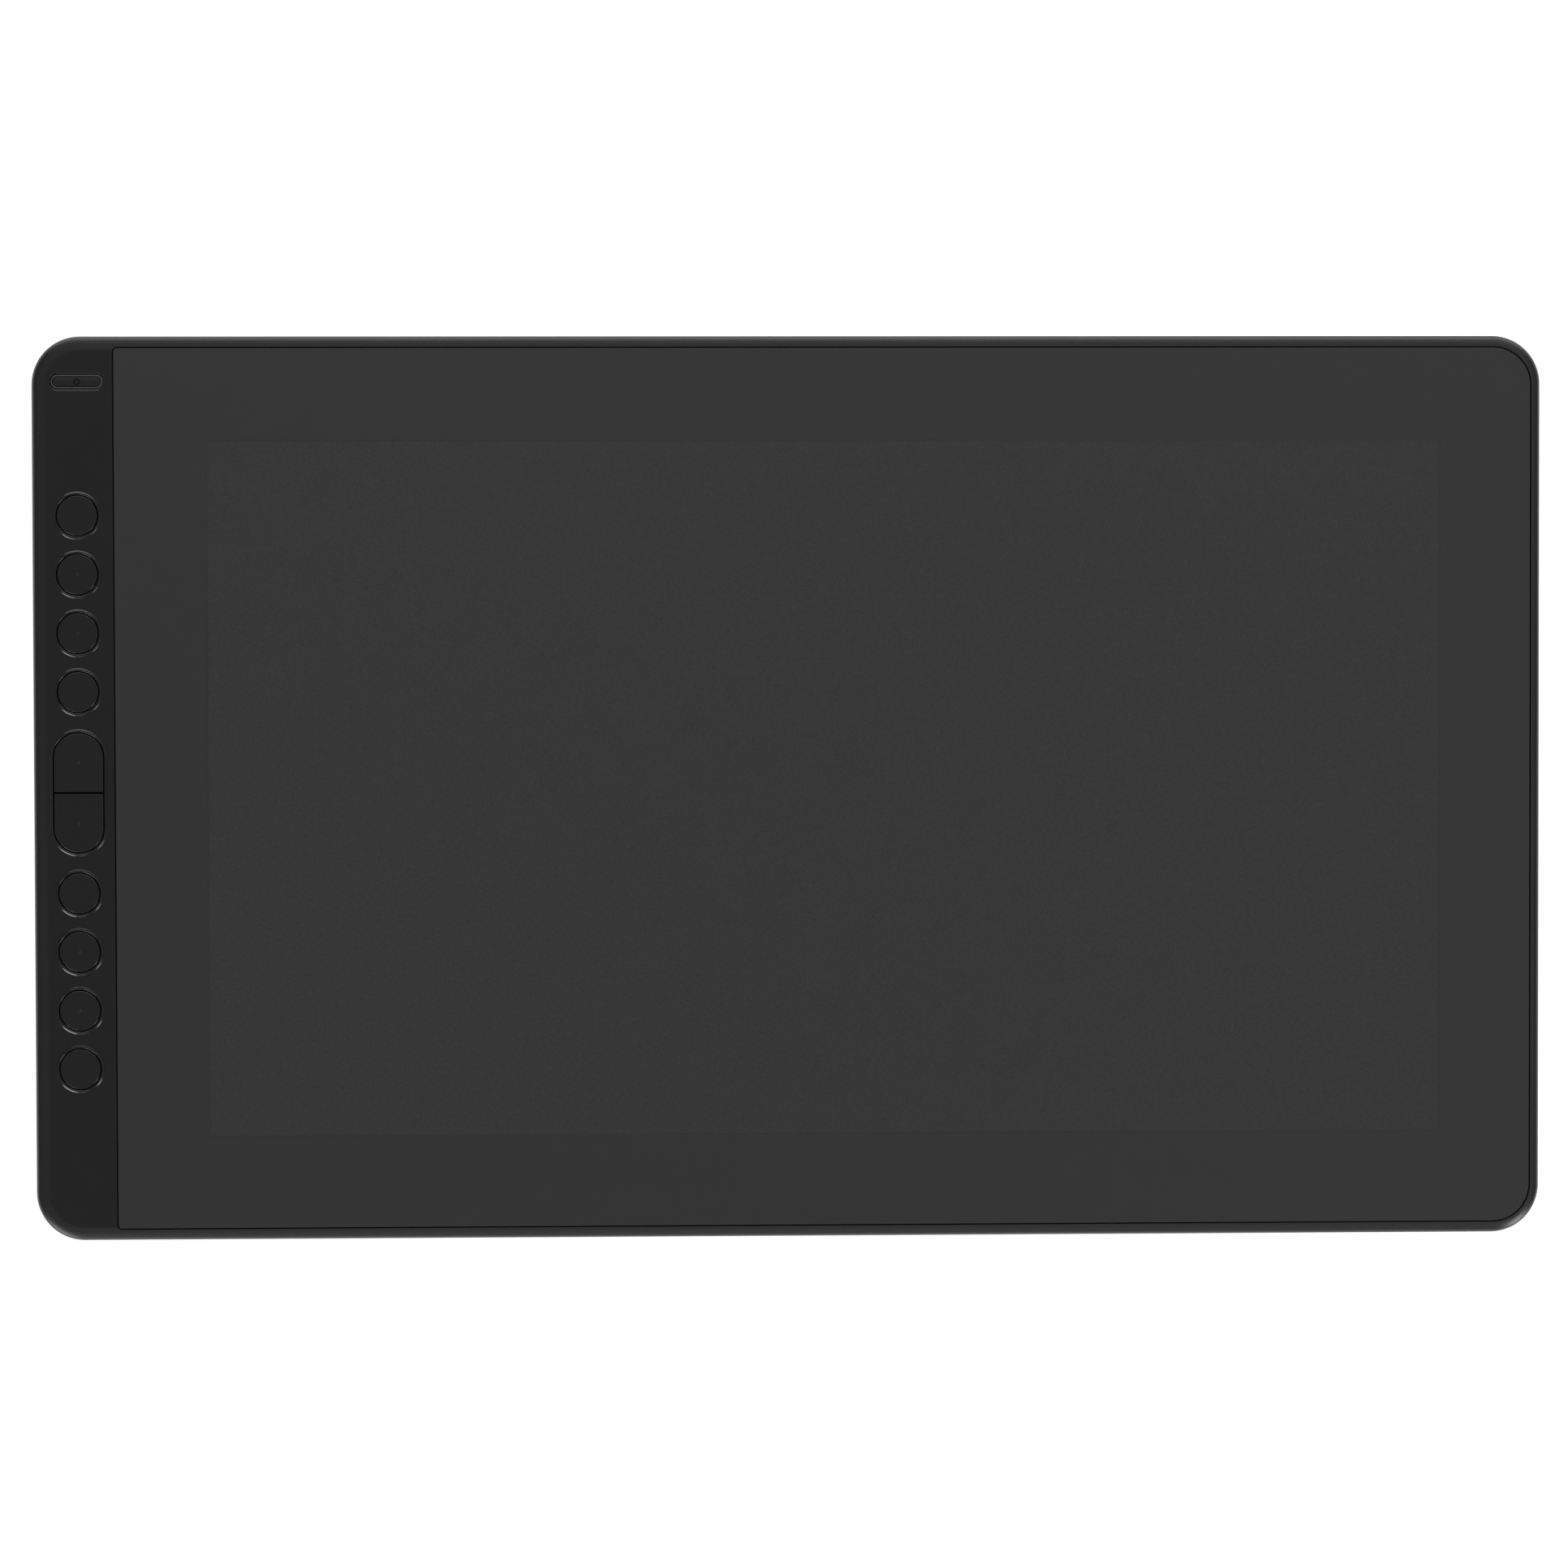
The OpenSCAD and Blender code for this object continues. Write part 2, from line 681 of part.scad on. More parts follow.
module rear_cover() {
  color(frame_black) difference() {
    union() {
      difference() {
        translate([0, 0, z_part]) mirror([0, 0, 1]) soft_slab(cover_h, rear_edge_r, false);
        translate([0, 0, z_floor]) linear_extrude(z_top) body_plan(wall);
      }
      rear_lip();
      floor_ribs();
      for (place = concat(post_places, strip_places)) translate([place[0], place[1], z_floor])
        cylinder(h = z_post - z_floor, d = post_d);
      for (place = main_post_places) translate([place[0], place[1], z_floor])
        cylinder(h = board_post_h, d = main_post_d);
    }
    for (place = concat(post_places, strip_places)) translate([place[0], place[1], 0]) {
      translate([0, 0, z_back - past]) cylinder(h = seat_depth + past, d = head_d + 2 * seat_gap);
      cylinder(h = z_post + past, d = screw_d + 2 * seat_gap);
    }
    for (place = main_post_places) translate([place[0], place[1], z_board_top - main_screw_l - tip_gap])
      cylinder(h = z_board_top, d = main_screw_d + 2 * thread_gap);
    for (sx = [-1, 1], sy = [-1, 1]) foot_place(sx, sy)
      translate([0, 0, -past]) linear_extrude(foot_t - foot_proud + past) foot_plan(layer_gap);
  }
}

// Lip of the rear cover, which lines up the front frame and is open at the sockets
module rear_lip() {
  notch_d = usb_pitch + usb_w + 4 * usb_gap;
  difference() {
    translate([0, 0, z_floor]) linear_extrude(z_part + lip_h - z_floor) difference() {
      body_plan(wall + lip_gap);
      body_plan(wall + lip_gap + lip_t);
    }
    translate([body_w / 2 - wall - lip_gap - 2 * lip_t, main_board_y - notch_d / 2, z_floor])
      cube([3 * lip_t, notch_d, z_top]);
  }
}

// Ribs on the rear cover's floor, in both directions
module floor_ribs() {
  span_x = body_w - 2 * (wall + lip_gap);
  span_y = body_d - 2 * (wall + lip_gap);
  rows = 3;
  columns = 5;
  for (i = [1:rows])
    translate([-span_x / 2, span_y * (i / (rows + 1) - 0.5) - rib_t / 2, z_floor])
      cube([span_x, rib_t, floor_rib_h]);
  for (i = [1:columns])
    translate([span_x * (i / (columns + 1) - 0.5) - rib_t / 2, -span_y / 2, z_floor])
      cube([rib_t, span_y, floor_rib_h]);
}

// Middle of the foot at one corner, on the rear cover's underside
module foot_place(sx, sy) {
  translate([sx * (body_w / 2 - foot_inset_x), sy * (body_d / 2 - foot_inset_y), z_back]) children();
}

// Outline of a foot, grown by grow
module foot_plan(grow) {
  rotate([0, 0, 90]) pill(foot_w + 2 * grow, foot_l + 2 * grow);
}

module foot(sx, sy) {
  sole_edge = 0.3;
  color(rubber_black) foot_place(sx, sy) translate([0, 0, -foot_proud]) intersection() {
    linear_extrude(foot_t) foot_plan(0);
    rotate([0, 0, 90])
      pill_flare(foot_w - 2 * sole_edge, foot_l - 2 * sole_edge, foot_t + past, foot_t + past);
  }
}

module housing_screws() {
  color(steel) for (place = concat(post_places, strip_places))
    translate([place[0], place[1], z_back + seat_depth]) screw(screw_d, screw_l, head_d, head_h);
}

// Flat sheet centred on the glass
module sheet(width, depth, y, z, thick) {
  translate([glass_x - width / 2, y - depth / 2, z]) cube([width, depth, thick]);
}

module cover_glass() {
  color(glass_black) translate([0, 0, z_glass]) linear_extrude(glass_t) glass_plan(0);
}

module glass_tape() {
  inset = 1.2;
  color("#3a3a3a") translate([0, 0, z_ledge]) linear_extrude(tape_t) difference() {
    glass_plan(-inset);
    glass_plan(-inset - tape_w);
  }
}

module optical_adhesive() {
  color("#dfe6e8")
    sheet(active_w + 2 * adhesive_margin, active_d + 2 * adhesive_margin, 0, z_cell_top, adhesive_t);
}

module lcd_cell() {
  color("#2b2d31") sheet(cell_w, cell_d, cell_y, z_cell, cell_t);
}

module optical_films() {
  color("#e4e4e0")
    sheet(inner_w - 2 * layer_gap, inner_d - 2 * layer_gap, cell_y, z_films, films_t);
}

module light_guide() {
  depth = inner_d - 2 * layer_gap - led_bar_d;
  color("#e8eeee") sheet(inner_w - 2 * layer_gap, depth, cell_y + led_bar_d / 2, z_guide, guide_t);
}

module reflector_film() {
  color("#f0f0f0")
    sheet(inner_w - 2 * layer_gap, inner_d - 2 * layer_gap, cell_y, z_reflector, reflector_t);
}

module led_bar() {
  near = cell_y - inner_d / 2 + layer_gap;
  color("#e9e4c8") {
    translate([glass_x - inner_w / 2 + layer_gap, near, z_guide])
      cube([inner_w - 2 * layer_gap, led_strip_d, guide_t]);
    for (i = [-led_count:led_count])
      translate([glass_x + i * led_pitch - led_w / 2, near, z_guide])
        cube([led_w, led_bar_d, guide_t - layer_gap]);
  }
}

module panel_frame() {
  color("#f2f2f2") translate([glass_x, cell_y, z_reflector]) linear_extrude(z_cell - z_reflector)
    difference() {
      square([cell_w, cell_d], center = true);
      square([inner_w, inner_d], center = true);
    }
}

module backlight_tray() {
  color(steel) difference() {
    sheet(backlight_w, backlight_d, cell_y, z_backlight, z_cell - z_backlight);
    sheet(cell_w + 2 * layer_gap, cell_d + 2 * layer_gap, cell_y, z_reflector, cell_t + past);
  }
}

module driver_board() {
  color(board_green) sheet(driver_w, driver_d, driver_y, z_shield, driver_t);
}

module panel_flexes() {
  pitch = driver_w / flex_count;
  board_top = z_shield + driver_t;
  rise = cell_y - backlight_d / 2 - flex_space / 2;
  hold = cell_y - cell_d / 2 + cell_near / 2;
  low = driver_y;
  color("#a9732c") for (i = [0:flex_count - 1])
    translate([glass_x + (i - (flex_count - 1) / 2) * pitch - flex_w / 2, 0, 0])
      rotate([90, 0, 90]) linear_extrude(flex_w)
        polygon([
          [low, board_top], [rise, board_top], [rise, z_cell_top], [hold, z_cell_top],
          [hold, z_cell_top + flex_t], [rise - flex_t, z_cell_top + flex_t],
          [rise - flex_t, board_top + flex_t], [low, board_top + flex_t]
        ]);
}

module digitizer_board() {
  color(board_green) sheet(backlight_w, backlight_d, cell_y, z_digitizer, digitizer_t);
}

// Window round a connector that reaches down through the sheets under its board
module connector_window(x, y, along_x) {
  length = connector_l + 2 * window_gap;
  width = cable_w + 2 * (connector_rim + window_gap);
  size = along_x ? [length, width] : [width, length];
  translate([x, y, z_tray - past]) linear_extrude(z_digitizer - z_tray + past) square(size, center = true);
}

module digitizer_window() {
  connector_window(digitizer_connector_x + connector_l / 2, digitizer_cable_y, true);
}

module driver_window() {
  connector_window(panel_cable_x, driver_connector_y + connector_l / 2, false);
}

module shield_sheet() {
  color("#c9ccd0") difference() {
    sheet(backlight_w, backlight_d, cell_y, z_shield, shield_t);
    digitizer_window();
  }
}

module support_tray() {
  color(steel) difference() {
    union() {
      translate([0, 0, z_tray]) linear_extrude(z_under - z_tray) tray_plan(tray_t);
      translate([0, 0, z_under - tray_t]) linear_extrude(tray_t) tray_plan(tray_t + tray_flange);
    }
    translate([0, 0, z_shield]) linear_extrude(z_top) tray_plan(0);
    digitizer_window();
    driver_window();
    for (place = tray_places) translate([place[0], place[1], z_under - tray_t - past])
      cylinder(h = tray_t + 2 * past, d = tray_screw_d + 4 * thread_gap);
  }
}

module tray_screws() {
  color(steel) for (place = tray_places) translate([place[0], place[1], z_under - tray_t])
    screw(tray_screw_d, tray_screw_l, tray_head_d, tray_head_h);
}

module main_board() {
  color(board_green) difference() {
    translate([main_board_x, main_board_y, z_board]) linear_extrude(board_t)
      square([main_board_w, main_board_d], center = true);
    for (place = main_post_places) translate([place[0], place[1], z_board - past])
      cylinder(h = board_t + 2 * past, d = main_screw_d + 4 * thread_gap);
  }
}

// Parts on the main board: place as a share of its half size, then size and height
module main_board_chips() {
  chips = [
    [[0.03, 0.12], processor_size],
    [[-0.52, 0], memory_size],
    [[0.32, -0.6], converter_size],
    [[0.65, 0.72], coil_size],
    [[0.65, -0.72], coil_size],
    [[-0.19, 0.68], flash_size]
  ];
  color("#1d1f22") for (chip = chips)
    translate([
      main_board_x + chip[0][0] * main_board_w / 2,
      main_board_y + chip[0][1] * main_board_d / 2,
      z_board_top
    ])
      linear_extrude(chip[1][2]) square([chip[1][0], chip[1][1]], center = true);
}

module main_board_screws() {
  color(steel) for (place = main_post_places) translate([place[0], place[1], z_board_top])
    mirror([0, 0, 1]) screw(main_screw_d, main_screw_l, main_head_d, main_head_h);
}

// Pressed shell of one socket, open towards the body's side and closed behind
module usb_shell(y) {
  color(steel) translate([usb_x, y, usb_z]) rotate([0, 90, 0]) difference() {
    linear_extrude(usb_l) pill(usb_h, usb_w);
    translate([0, 0, usb_shell_t]) linear_extrude(usb_l)
      pill(usb_h - 2 * usb_shell_t, usb_w - 2 * usb_shell_t);
  }
}

// Moulded insert of each socket: a block at the back that carries the contact tongue
module usb_tongues() {
  block_l = 2;
  tongue_recess = 1;
  tongue_l = usb_l - usb_shell_t - tongue_recess;
  tongue_w = 6.6;
  tongue_t = 0.7;
  side_gap = 0.05;
  color("#17181a") for (y = usb_ys) translate([usb_x + usb_shell_t, y, usb_z]) rotate([0, 90, 0]) {
    linear_extrude(block_l)
      pill(usb_h - 2 * (usb_shell_t + side_gap), usb_w - 2 * (usb_shell_t + side_gap));
    linear_extrude(tongue_l) square([tongue_t, tongue_w], center = true);
  }
}

// Cable connector along +X from its back, on its board face at height 0, mouth at mouth_z
module connector(height, mouth_z) {
  width = cable_w + 2 * connector_rim;
  difference() {
    translate([0, -width / 2, 0]) cube([connector_l, width, height]);
    translate([connector_l - plug_depth, -cable_w / 2 - plug_gap, mouth_z - plug_gap])
      cube([plug_depth + past, cable_w + 2 * plug_gap, cable_t + 2 * plug_gap]);
  }
}

module cable_connectors() {
  color("#e9e7df") {
    translate([key_connector_x, key_cable_y, z_key_board - connector_h])
      connector(connector_h, z_key_cable - z_key_board + connector_h);
    for (y = [key_cable_y, digitizer_cable_y])
      translate([main_left + connector_l, y, z_board_top]) rotate([0, 0, 180])
        connector(connector_h, z_main_cable - z_board_top);
    translate([panel_cable_x, main_near + connector_l, z_board_top]) rotate([0, 0, -90])
      connector(connector_h, z_main_cable - z_board_top);
    translate([panel_cable_x, driver_connector_y, z_window_connector]) rotate([0, 0, 90])
      connector(z_shield - z_window_connector, z_panel_cable - z_window_connector);
    translate([digitizer_connector_x, digitizer_cable_y, z_window_connector])
      connector(z_digitizer - z_window_connector, z_panel_cable - z_window_connector);
  }
}

// Flat cable along X whose underside follows the points of path
module flat_cable(path) {
  count = len(path);
  color("#e6e6e2") rotate([90, 0, 0]) linear_extrude(cable_w, center = true)
    polygon(concat(path, [for (i = [count - 1:-1:0]) path[i] + [0, cable_t]]));
}

module key_cable() {
  start = key_connector_x + connector_l;
  tray_left = glass_x - tray_w / 2;
  translate([0, key_cable_y, 0]) flat_cable([
    [start - plug_depth, z_key_cable], [start + bend, z_key_cable],
    [tray_left + bend, z_tray_cable], [main_left - 2 * bend, z_tray_cable],
    [main_left - plug_run, z_main_cable], [main_left + plug_depth, z_main_cable]
  ]);
}

module digitizer_cable() {
  start = digitizer_connector_x + connector_l;
  translate([0, digitizer_cable_y, 0]) flat_cable([
    [start - plug_depth, z_panel_cable], [start + plug_run, z_panel_cable],
    [start + bend, z_tray_cable], [main_left - 2 * bend, z_tray_cable],
    [main_left - plug_run, z_main_cable], [main_left + plug_depth, z_main_cable]
  ]);
}

module panel_cable() {
  start = driver_connector_y + connector_l;
  translate([panel_cable_x, 0, 0]) rotate([0, 0, 90]) flat_cable([
    [start - plug_depth, z_panel_cable], [start + plug_run, z_panel_cable],
    [start + bend, z_tray_cable], [main_near - 2 * bend, z_tray_cable],
    [main_near - plug_run, z_main_cable], [main_near + plug_depth, z_main_cable]
  ]);
}

module key_board() {
  color(board_green) difference() {
    translate([key_x - key_board_w / 2, key_board_near, z_key_board])
      cube([key_board_w, key_board_far - key_board_near, board_t]);
    for (place = key_post_places) translate([place[0], place[1], z_key_board - past])
      cylinder(h = board_t + 2 * past, d = board_screw_d + 4 * thread_gap);
    for (place = strip_places) translate([place[0], place[1], z_key_board - past])
      cylinder(h = board_t + 2 * past, d = post_d + 2 * post_gap);
  }
}

module key_board_screws() {
  color(steel) for (place = key_post_places) translate([place[0], place[1], z_key_board])
    screw(board_screw_d, board_screw_l, board_head_d, board_head_h);
}

module key_switches() {
  bore_depth = plunger_depth + key_travel + key_float;
  color("#2a2c2e") for (place = switch_places) translate([place[0], place[1], z_key_board_top])
    difference() {
      linear_extrude(switch_h) square(switch_w, center = true);
      translate([0, 0, switch_h - bore_depth])
        cylinder(h = bore_depth + past, d = plunger_d + 2 * plunger_gap);
    }
}

module power_led() {
  led_size = [1.6, 0.8, 0.7];
  color("#f4f0d0") translate([key_x + switch_w / 2 + 1, power_y - led_size[1] / 2, z_key_board_top])
    cube(led_size);
}

module plunger(place) {
  color("#d8d4c8") translate([place[0], place[1], z_switch - plunger_depth])
    cylinder(h = plunger_depth + plunger_proud, d = plunger_d);
}

// Dome of a tactile dot on a key's top face
module tactile_dot() {
  ball_r = (dot_d * dot_d / 4 + dot_h * dot_h) / (2 * dot_h);
  translate([0, 0, z_key_top + dot_h - ball_r]) intersection() {
    sphere(r = ball_r);
    translate([0, 0, ball_r - dot_h - key_wall / 4])
      cylinder(h = ball_r, d = 2 * ball_r);
  }
}

// Round key: a hollow turned cap with a flange below the key panel and a stem on its switch
module round_key(i) {
  cap_r = key_d / 2;
  stem_r = stem_d / 2;
  color(key_black) translate([key_x, key_y(i), 0]) {
    translate([0, 0, z_stem]) rotate_extrude() difference() {
      union() {
        square([stem_r, z_flange - z_stem + flange_t]);
        translate([0, z_flange - z_stem]) {
          square([cap_r + key_gap + flange_lip, flange_t]);
          edge_profile(cap_r, z_key_top - z_flange, key_edge_r);
        }
      }
      translate([stem_r, -past])
        square([cap_r - key_wall - stem_r, z_key_top - key_wall - z_stem + past]);
    }
    if (len(search(i, dotted_keys)) > 0) tactile_dot();
  }
}

// One half of the rocker, on the far side of the split or, mirrored, on its near side
module rocker_half(side) {
  lip = key_gap + flange_lip;
  half_l = rocker_l / 2 + lip;
  color(key_black) translate([key_x, column_y, 0]) mirror([0, side > 0 ? 0 : 1, 0]) {
    difference() {
      intersection() {
        union() {
          translate([0, 0, z_flange]) linear_extrude(flange_t)
            pill(rocker_w + 2 * lip, rocker_l + 2 * lip);
          translate([0, 0, z_flange]) linear_extrude(z_key_top - cap_chamfer - z_flange)
            pill(rocker_w, rocker_l);
          translate([0, 0, z_key_top - cap_chamfer])
            pill_flare(rocker_w, rocker_l, -cap_chamfer, cap_chamfer);
        }
        translate([-half_l, rocker_split / 2, 0]) cube([2 * half_l, half_l, 2 * z_top]);
      }
      translate([0, 0, z_flange - past]) linear_extrude(z_key_top - key_wall - z_flange + past)
        intersection() {
          pill(rocker_w - 2 * key_wall, rocker_l - 2 * key_wall);
          translate([-half_l, rocker_split / 2 + key_wall]) square([2 * half_l, half_l]);
        }
    }
    translate([0, rocker_stem_y, z_stem]) cylinder(h = z_key_top - key_wall - z_stem, d = stem_d);
    translate([0, rocker_stem_y, 0]) tactile_dot();
  }
}

// Translucent carrier of the power key, whose rim shows as a ring of light
module power_light_ring() {
  lip = power_gap + flange_lip;
  color("#8d8f90") translate([key_x, power_y, 0]) {
    rotate([0, 0, 90]) difference() {
      union() {
        translate([0, 0, z_flange]) linear_extrude(flange_t) pill(ring_d + 2 * lip, ring_l + 2 * lip);
        translate([0, 0, z_flange]) linear_extrude(z_power_top - z_flange) pill(ring_d, ring_l);
      }
      translate([0, 0, z_power_top - power_pocket]) linear_extrude(power_pocket + past)
        pill(power_w + 2 * ring_gap, power_l + 2 * ring_gap);
    }
    translate([0, 0, z_stem]) cylinder(h = z_flange - z_stem, d = stem_d);
  }
}

module power_cap() {
  color(key_black) translate([key_x, power_y, z_power_top - power_pocket]) rotate([0, 0, 90]) {
    linear_extrude(power_pocket - power_chamfer) pill(power_w, power_l);
    translate([0, 0, power_pocket - power_chamfer])
      pill_flare(power_w, power_l, -power_chamfer, power_chamfer);
  }
}

front_frame();
rear_cover();
housing_screws();
foot(-1, -1);  // foot_near_left
foot(1, -1);  // foot_near_right
foot(-1, 1);  // foot_far_left
foot(1, 1);  // foot_far_right
cover_glass();
glass_tape();
optical_adhesive();
lcd_cell();
optical_films();
light_guide();
reflector_film();
led_bar();
panel_frame();
backlight_tray();
driver_board();
panel_flexes();
digitizer_board();
shield_sheet();
support_tray();
tray_screws();
main_board();
main_board_chips();
main_board_screws();
usb_shell(usb_ys[0]);  // usb_shell_far
usb_shell(usb_ys[1]);  // usb_shell_near
usb_tongues();
cable_connectors();
key_board();
key_board_screws();
key_switches();
power_led();
key_cable();
panel_cable();
digitizer_cable();
for (i = [1:2 * group_keys]) {
  round_key(i);
  plunger([key_x, key_y(i)]);
}
rocker_half(1);  // rocker_far
rocker_half(-1);  // rocker_near
power_cap();
power_light_ring();
plunger([key_x, column_y + rocker_stem_y]);  // rocker_far_plunger
plunger([key_x, column_y - rocker_stem_y]);  // rocker_near_plunger
plunger([key_x, power_y]);  // power_plunger
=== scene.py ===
"""Looks of the graphics tablet with a screen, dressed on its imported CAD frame."""

import math

import bmesh
import bpy
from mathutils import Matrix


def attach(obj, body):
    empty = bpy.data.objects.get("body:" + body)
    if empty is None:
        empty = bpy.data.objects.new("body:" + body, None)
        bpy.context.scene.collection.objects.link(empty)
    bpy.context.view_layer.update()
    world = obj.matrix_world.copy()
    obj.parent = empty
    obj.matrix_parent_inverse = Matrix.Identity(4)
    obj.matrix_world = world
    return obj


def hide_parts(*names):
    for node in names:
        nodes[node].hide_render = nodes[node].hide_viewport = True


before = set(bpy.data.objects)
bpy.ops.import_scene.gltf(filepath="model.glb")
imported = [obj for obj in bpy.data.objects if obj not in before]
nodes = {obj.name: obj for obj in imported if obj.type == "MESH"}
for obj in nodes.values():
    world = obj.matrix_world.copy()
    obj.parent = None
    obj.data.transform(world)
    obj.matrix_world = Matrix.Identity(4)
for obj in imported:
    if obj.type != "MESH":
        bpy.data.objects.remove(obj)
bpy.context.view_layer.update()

# Rear cover: a shallow moulded tray in black ABS with a fine spark-eroded grain.
# Its side meets the front frame at a parting line, its floor has pockets for the feet, and
# twelve screws pass up through its posts.
mm = 0.001
tiny = 0.001 * mm
half_w = 211.05 * mm
half_d = 126.2 * mm
outline_r = 13.5 * mm
corner_steps = 24
wall = 2.0 * mm
z_back = 1.0 * mm
z_floor = 2.5 * mm
z_part = 3.6 * mm
z_lip = 4.8 * mm
z_post = 5.0 * mm
rear_edge_r = 2.2 * mm
parting_r = 0.18 * mm
past = 1.0 * mm
round_sides = 48
fine_sides = 64


def start_block(name, low, high):
    """A block between two corners, with its place in its mesh."""
    bpy.ops.object.select_all(action="DESELECT")
    middle = [(a + b) / 2 for a, b in zip(low, high)]
    bpy.ops.mesh.primitive_cube_add(size=1, location=middle)
    block = bpy.context.object
    block.name = name
    block.scale = [b - a for a, b in zip(low, high)]
    bpy.ops.object.transform_apply(location=True, rotation=True, scale=True)
    return block


def start_rod(name, place, radius, low, high, sides=96):
    """An upright rod at place, between two heights."""
    bpy.ops.object.select_all(action="DESELECT")
    middle = (place[0], place[1], (low + high) / 2)
    bpy.ops.mesh.primitive_cylinder_add(
        vertices=sides, radius=radius, depth=high - low, location=middle,
        rotation=(0, 0, math.pi / sides),
    )
    rod = bpy.context.object
    rod.name = name
    bpy.ops.object.transform_apply(location=True, rotation=True, scale=True)
    return rod


def open_form(piece, pick):
    """Opens piece for editing with nothing picked, and gives its mesh."""
    bpy.ops.object.select_all(action="DESELECT")
    piece.select_set(True)
    bpy.context.view_layer.objects.active = piece
    bpy.ops.object.mode_set(mode="EDIT")
    bpy.ops.mesh.select_mode(type=pick)
    bpy.ops.mesh.select_all(action="DESELECT")
    return bmesh.from_edit_mesh(piece.data)


def close_form():
    """Back from editing."""
    bpy.ops.object.mode_set(mode="OBJECT")


def round_edges(piece, wanted, radius, steps=4):
    """Rounds the edges of piece whose two ends wanted() says yes to."""
    form = open_form(piece, "EDGE")
    for edge in form.edges:
        if wanted(edge.verts[0].co, edge.verts[1].co):
            edge.select_set(True)
    bmesh.update_edit_mesh(piece.data)
    bpy.ops.mesh.bevel(
        offset=radius, offset_type="OFFSET", segments=steps, affect="EDGES",
        clamp_overlap=False,
    )
    close_form()


def round_block(name, low, high, radii, steps=corner_steps):
    """A block with its own upright corner radius: near left, near right, far right, far left."""
    block = start_block(name, low, high)
    middle_x = (low[0] + high[0]) / 2
    middle_y = (low[1] + high[1]) / 2
    signs = ((-1, -1), (1, -1), (1, 1), (-1, 1))
    for (sx, sy), radius in zip(signs, radii):
        round_edges(
            block,
            lambda a, b: abs(a.z - b.z) > tiny and abs(a.x - b.x) < tiny and abs(a.y - b.y) < tiny
            and (a.x - middle_x) * sx > (high[0] - low[0]) / 2 - tiny
            and (a.y - middle_y) * sy > (high[1] - low[1]) / 2 - tiny,
            radius, steps,
        )
    return block


def pull_apart(piece, place, along, reach):
    """Moves the two halves of piece away from place, with straight runs between them."""
    axis = "XY".index(along)
    for side in (-1, 1):
        form = open_form(piece, "VERT")
        for corner in form.verts:
            if (corner.co[axis] - place[axis]) * side > 0:
                corner.select_set(True)
        form.select_flush(True)
        bmesh.update_edit_mesh(piece.data)
        shift = [0, 0, 0]
        shift[axis] = side * reach
        bpy.ops.transform.translate(value=shift)
        close_form()


def start_pill(name, place, width, length, low, high, along="Y", sides=96):
    """A rod pulled out to a pill with two round ends."""
    pill = start_rod(name, place, width / 2, low, high, sides)
    pull_apart(pill, place, along, (length - width) / 2)
    return pill


def join_up(pieces):
    """Makes one object of several."""
    bpy.ops.object.select_all(action="DESELECT")
    for piece in pieces:
        piece.select_set(True)
    bpy.context.view_layer.objects.active = pieces[0]
    bpy.ops.object.join()
    return pieces[0]


def combine(piece, tool, operation):
    """Cuts tool from piece or adds it to it, and throws the tool away."""
    bpy.ops.object.select_all(action="DESELECT")
    piece.select_set(True)
    bpy.context.view_layer.objects.active = piece
    step = piece.modifiers.new("combine", "BOOLEAN")
    step.object = tool
    step.operation = operation
    step.solver = "EXACT"
    bpy.ops.object.modifier_apply(modifier=step.name)
    bpy.data.objects.remove(tool, do_unlink=True)


def finish_faces(piece, angle=32):
    """Smooth rounded edges beside flat faces that stay flat."""
    bpy.ops.object.select_all(action="DESELECT")
    piece.select_set(True)
    bpy.context.view_layer.objects.active = piece
    bpy.ops.object.shade_smooth_by_angle(angle=math.radians(angle))
    step = piece.modifiers.new("even", "WEIGHTED_NORMAL")
    step.keep_sharp = True
    bpy.ops.object.modifier_apply(modifier=step.name)


